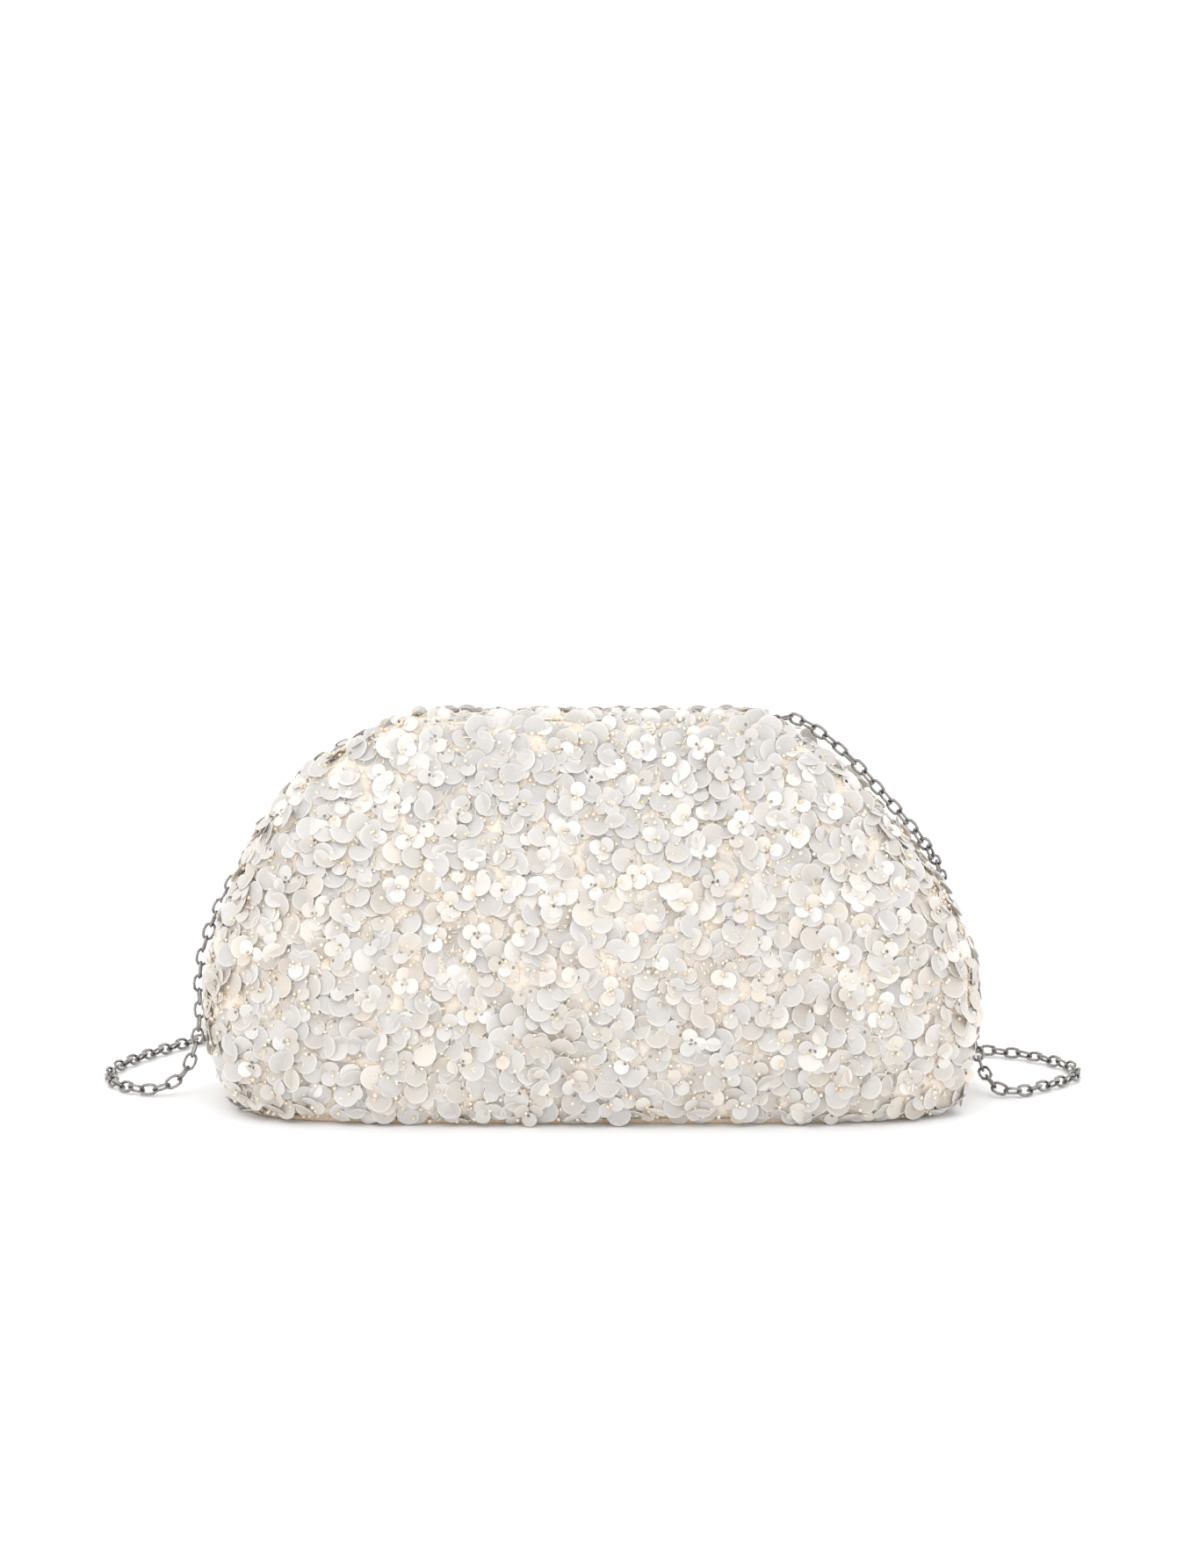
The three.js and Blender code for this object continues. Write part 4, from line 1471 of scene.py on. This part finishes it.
        # Painted glints: more discs are painted white higher up, where the surface tilts to the
        # key light, and in drifts.
        high = 0.35 + 0.9 * smooth_rise(spots.points[:, 2], 35 * MM, 75 * MM)
        drift = np.array([0.9 + 2.2 * noise.noise(Vector(p) / (24 * MM)) for p in spots.points])
        chance = painted_glint_share * high * np.clip(drift, 0.15, 2.2)
        return np.where(rng.random(count) < chance, rng.uniform(0.9, 1.1, count), milky)

    @staticmethod
    def cluster_chance(point: np.ndarray) -> float:
        """Chance of a small sequin at a place, high in drifts and low between them."""
        drift = noise.noise(Vector(point) / (17 * MM) + Vector((11, 2, 5)))
        return 0.28 + 1.1 * max(0.0, drift + 0.1)

    def make_beads(self, side: Side, holes: list[Spots]) -> bpy.types.Object:
        """Sews seed beads in many of the holes, and in drifts on the cloth.

        Args:
            side: Front or back.
            holes: The sequins' holes.

        Returns:
            The piece.
        """
        rng = np.random.default_rng(101 + side.value)
        loose = self.spread(self.spots(side, rng, self.fine_tries), self.bead_spacing,
                            self.bead_chance, rng)
        loose.points += loose.normals * rng.uniform(0.4, 1.9, (len(loose.points), 1)) * MM
        sewn = [h.pick(np.flatnonzero(rng.random(len(h.points)) < self.holes_with_beads))
                for h in holes]
        points = np.vstack([loose.points, *(h.points + h.normals * 0.35 * MM for h in sewn)])
        points[:, 2] = np.maximum(points[:, 2], self.bead_radius + self.floor_clearance)
        size = rng.uniform(0.8, 1.15, len(points))
        frames = np.zeros((len(points), 3, 4))
        frames[:, (0, 1, 2), (0, 1, 2)] = size[:, None]
        frames[:, :, 3] = points
        return self.sew_on("seed_beads", side, self.bead_pattern(), frames,
                           {"tone": rng.beta(2, 1.5, len(points))}, SEED_GLASS)

    @staticmethod
    def bead_chance(point: np.ndarray) -> float:
        """Chance of a loose bead at a place, in drifts finer than the sequins'."""
        drift = noise.noise(Vector(point) / (9 * MM) + Vector((1, 13, 8)))
        return 0.12 + 0.8 * max(0.0, drift)

    def make_stitches(self, side: Side) -> bpy.types.Object:
        """Lays short arching stitches of thread over the cloth."""
        rng = np.random.default_rng(307 + side.value)
        spots = self.spread(self.spots(side, rng, self.fine_tries), self.thread_spacing, None, rng)
        count = len(spots.points)
        frames = self.hang(spots, np.zeros(count), rng.uniform(0.1, 1.0, count) * MM,
                           rng.uniform(-math.pi, math.pi, count),
                           np.radians(rng.normal(0, 14, count)), np.zeros(count))
        frames = self.keep_between(frames, 1.4 * MM)
        return self.sew_on("thread_stitches", side, self.stitch_pattern(), frames,
                           {"tone": rng.random(count)}, SEWING_THREAD)


# ---------------------------------------------------------------- hidden metal


@dataclass
class Hardware:
    """CAD nodes whose shape is already right, with better materials."""

    finishes: dict[str, Finish] = field(default_factory=lambda: {
        "back_hoop": SPRING_STEEL, "front_hoop": SPRING_STEEL,
        "hinge_rivet_right": SPRING_STEEL, "hinge_rivet_left": SPRING_STEEL,
        "back_magnet": MAGNET_NICKEL, "front_magnet": MAGNET_NICKEL,
        "chain_lug_right": CHAIN_STEEL, "chain_lug_left": CHAIN_STEEL,
        "base_board": BASE_BOARD})

    def make(self) -> int:
        """Dresses the nodes.

        Returns:
            How many there are.
        """
        for name, finish in self.finishes.items():
            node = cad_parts[name]
            node.data.materials.clear()
            node.data.materials.append(finish.make())
        return len(self.finishes)


# ---------------------------------------------------------------- the studio


@dataclass
class Studio:
    """A white sweep of paper, soft light from above and the camera."""

    elevation: float = 11.0
    distance: float = 1.62
    lens: float = 115.3
    aim: tuple[float, float, float] = (-0.0017, 0.0, 0.1043)
    world_strength: float = 1.36
    key_power: float = 1.1
    key_size: float = 0.2
    key_place: tuple[float, float, float] = (-0.45, -0.75, 1.15)

    def make_camera(self) -> None:
        """Points the camera at the bag from a little above."""
        data = bpy.data.cameras.new("camera")
        data.lens = self.lens
        data.sensor_width = 36
        data.clip_start, data.clip_end = 0.01, 50
        camera = bpy.data.objects.new("camera", data)
        bpy.context.scene.collection.objects.link(camera)
        lift = math.radians(self.elevation)
        back = Vector((0, -math.cos(lift), math.sin(lift)))
        camera.location = Vector(self.aim) + back * self.distance
        camera.rotation_euler = (-back).to_track_quat("-Z", "Y").to_euler()
        bpy.context.scene.camera = camera

    def make_light(self, name: str, place: tuple[float, float, float], size: float,
                   power: float) -> None:
        """Adds one soft square light that faces the bag.

        Args:
            name: Name of the light.
            place: Where it stands.
            size: Its side.
            power: Its power, in watts.
        """
        data = bpy.data.lights.new(name, "AREA")
        data.shape = "SQUARE"
        data.size = size
        data.energy = power
        lamp = bpy.data.objects.new(name, data)
        bpy.context.scene.collection.objects.link(lamp)
        lamp.location = place
        toward = Vector((0, 0, 0.07)) - lamp.location
        lamp.rotation_euler = toward.to_track_quat("-Z", "Y").to_euler()

    def make(self) -> None:
        """Builds the floor, the world, the lights and the camera."""
        bm = bmesh.new()
        bmesh.ops.create_grid(bm, x_segments=8, y_segments=8, size=12)
        floor = finish_mesh("studio_floor", bm)
        floor.data.materials.append(STUDIO_PAPER.make())
        world = bpy.data.worlds.new("studio")
        bpy.context.scene.world = world
        world.use_nodes = True
        sky = world.node_tree.nodes["Background"]
        sky.inputs[0].default_value = (1, 1, 1, 1)
        sky.inputs[1].default_value = self.world_strength
        self.make_light("key", self.key_place, self.key_size, self.key_power)
        bpy.context.scene.view_settings.view_transform = "Standard"
        self.make_camera()


def main() -> None:
    """Builds every piece in order and reports each one."""
    logging.basicConfig(level=logging.INFO, format="%(message)s")
    Studio().make()
    strap = ChainStrap()
    made = [strap.make_links(), strap.make_ring("right"), strap.make_ring("left")]
    body = Body(Form())
    sewing = Embroidery(body)
    for side in Side:
        made += [body.make_cover(side), body.make_wadding(side), body.make_lining(side),
                 body.make_facing(side)]
    made += body.make_base()
    made.append(body.make_pocket())
    for side in Side:
        large, large_holes = sewing.make_sequins(side, SequinSize.LARGE)
        small, small_holes = sewing.make_sequins(side, SequinSize.SMALL)
        made += [large, small, sewing.make_beads(side, [large_holes, small_holes]),
                 sewing.make_stitches(side)]
    for piece in made:
        log.info("%s: %d faces", piece.name, len(piece.data.polygons))
    log.info("%d CAD nodes dressed", Hardware().make())


if __name__ == "__main__":
    main()
    bpy.context.view_layer.update()
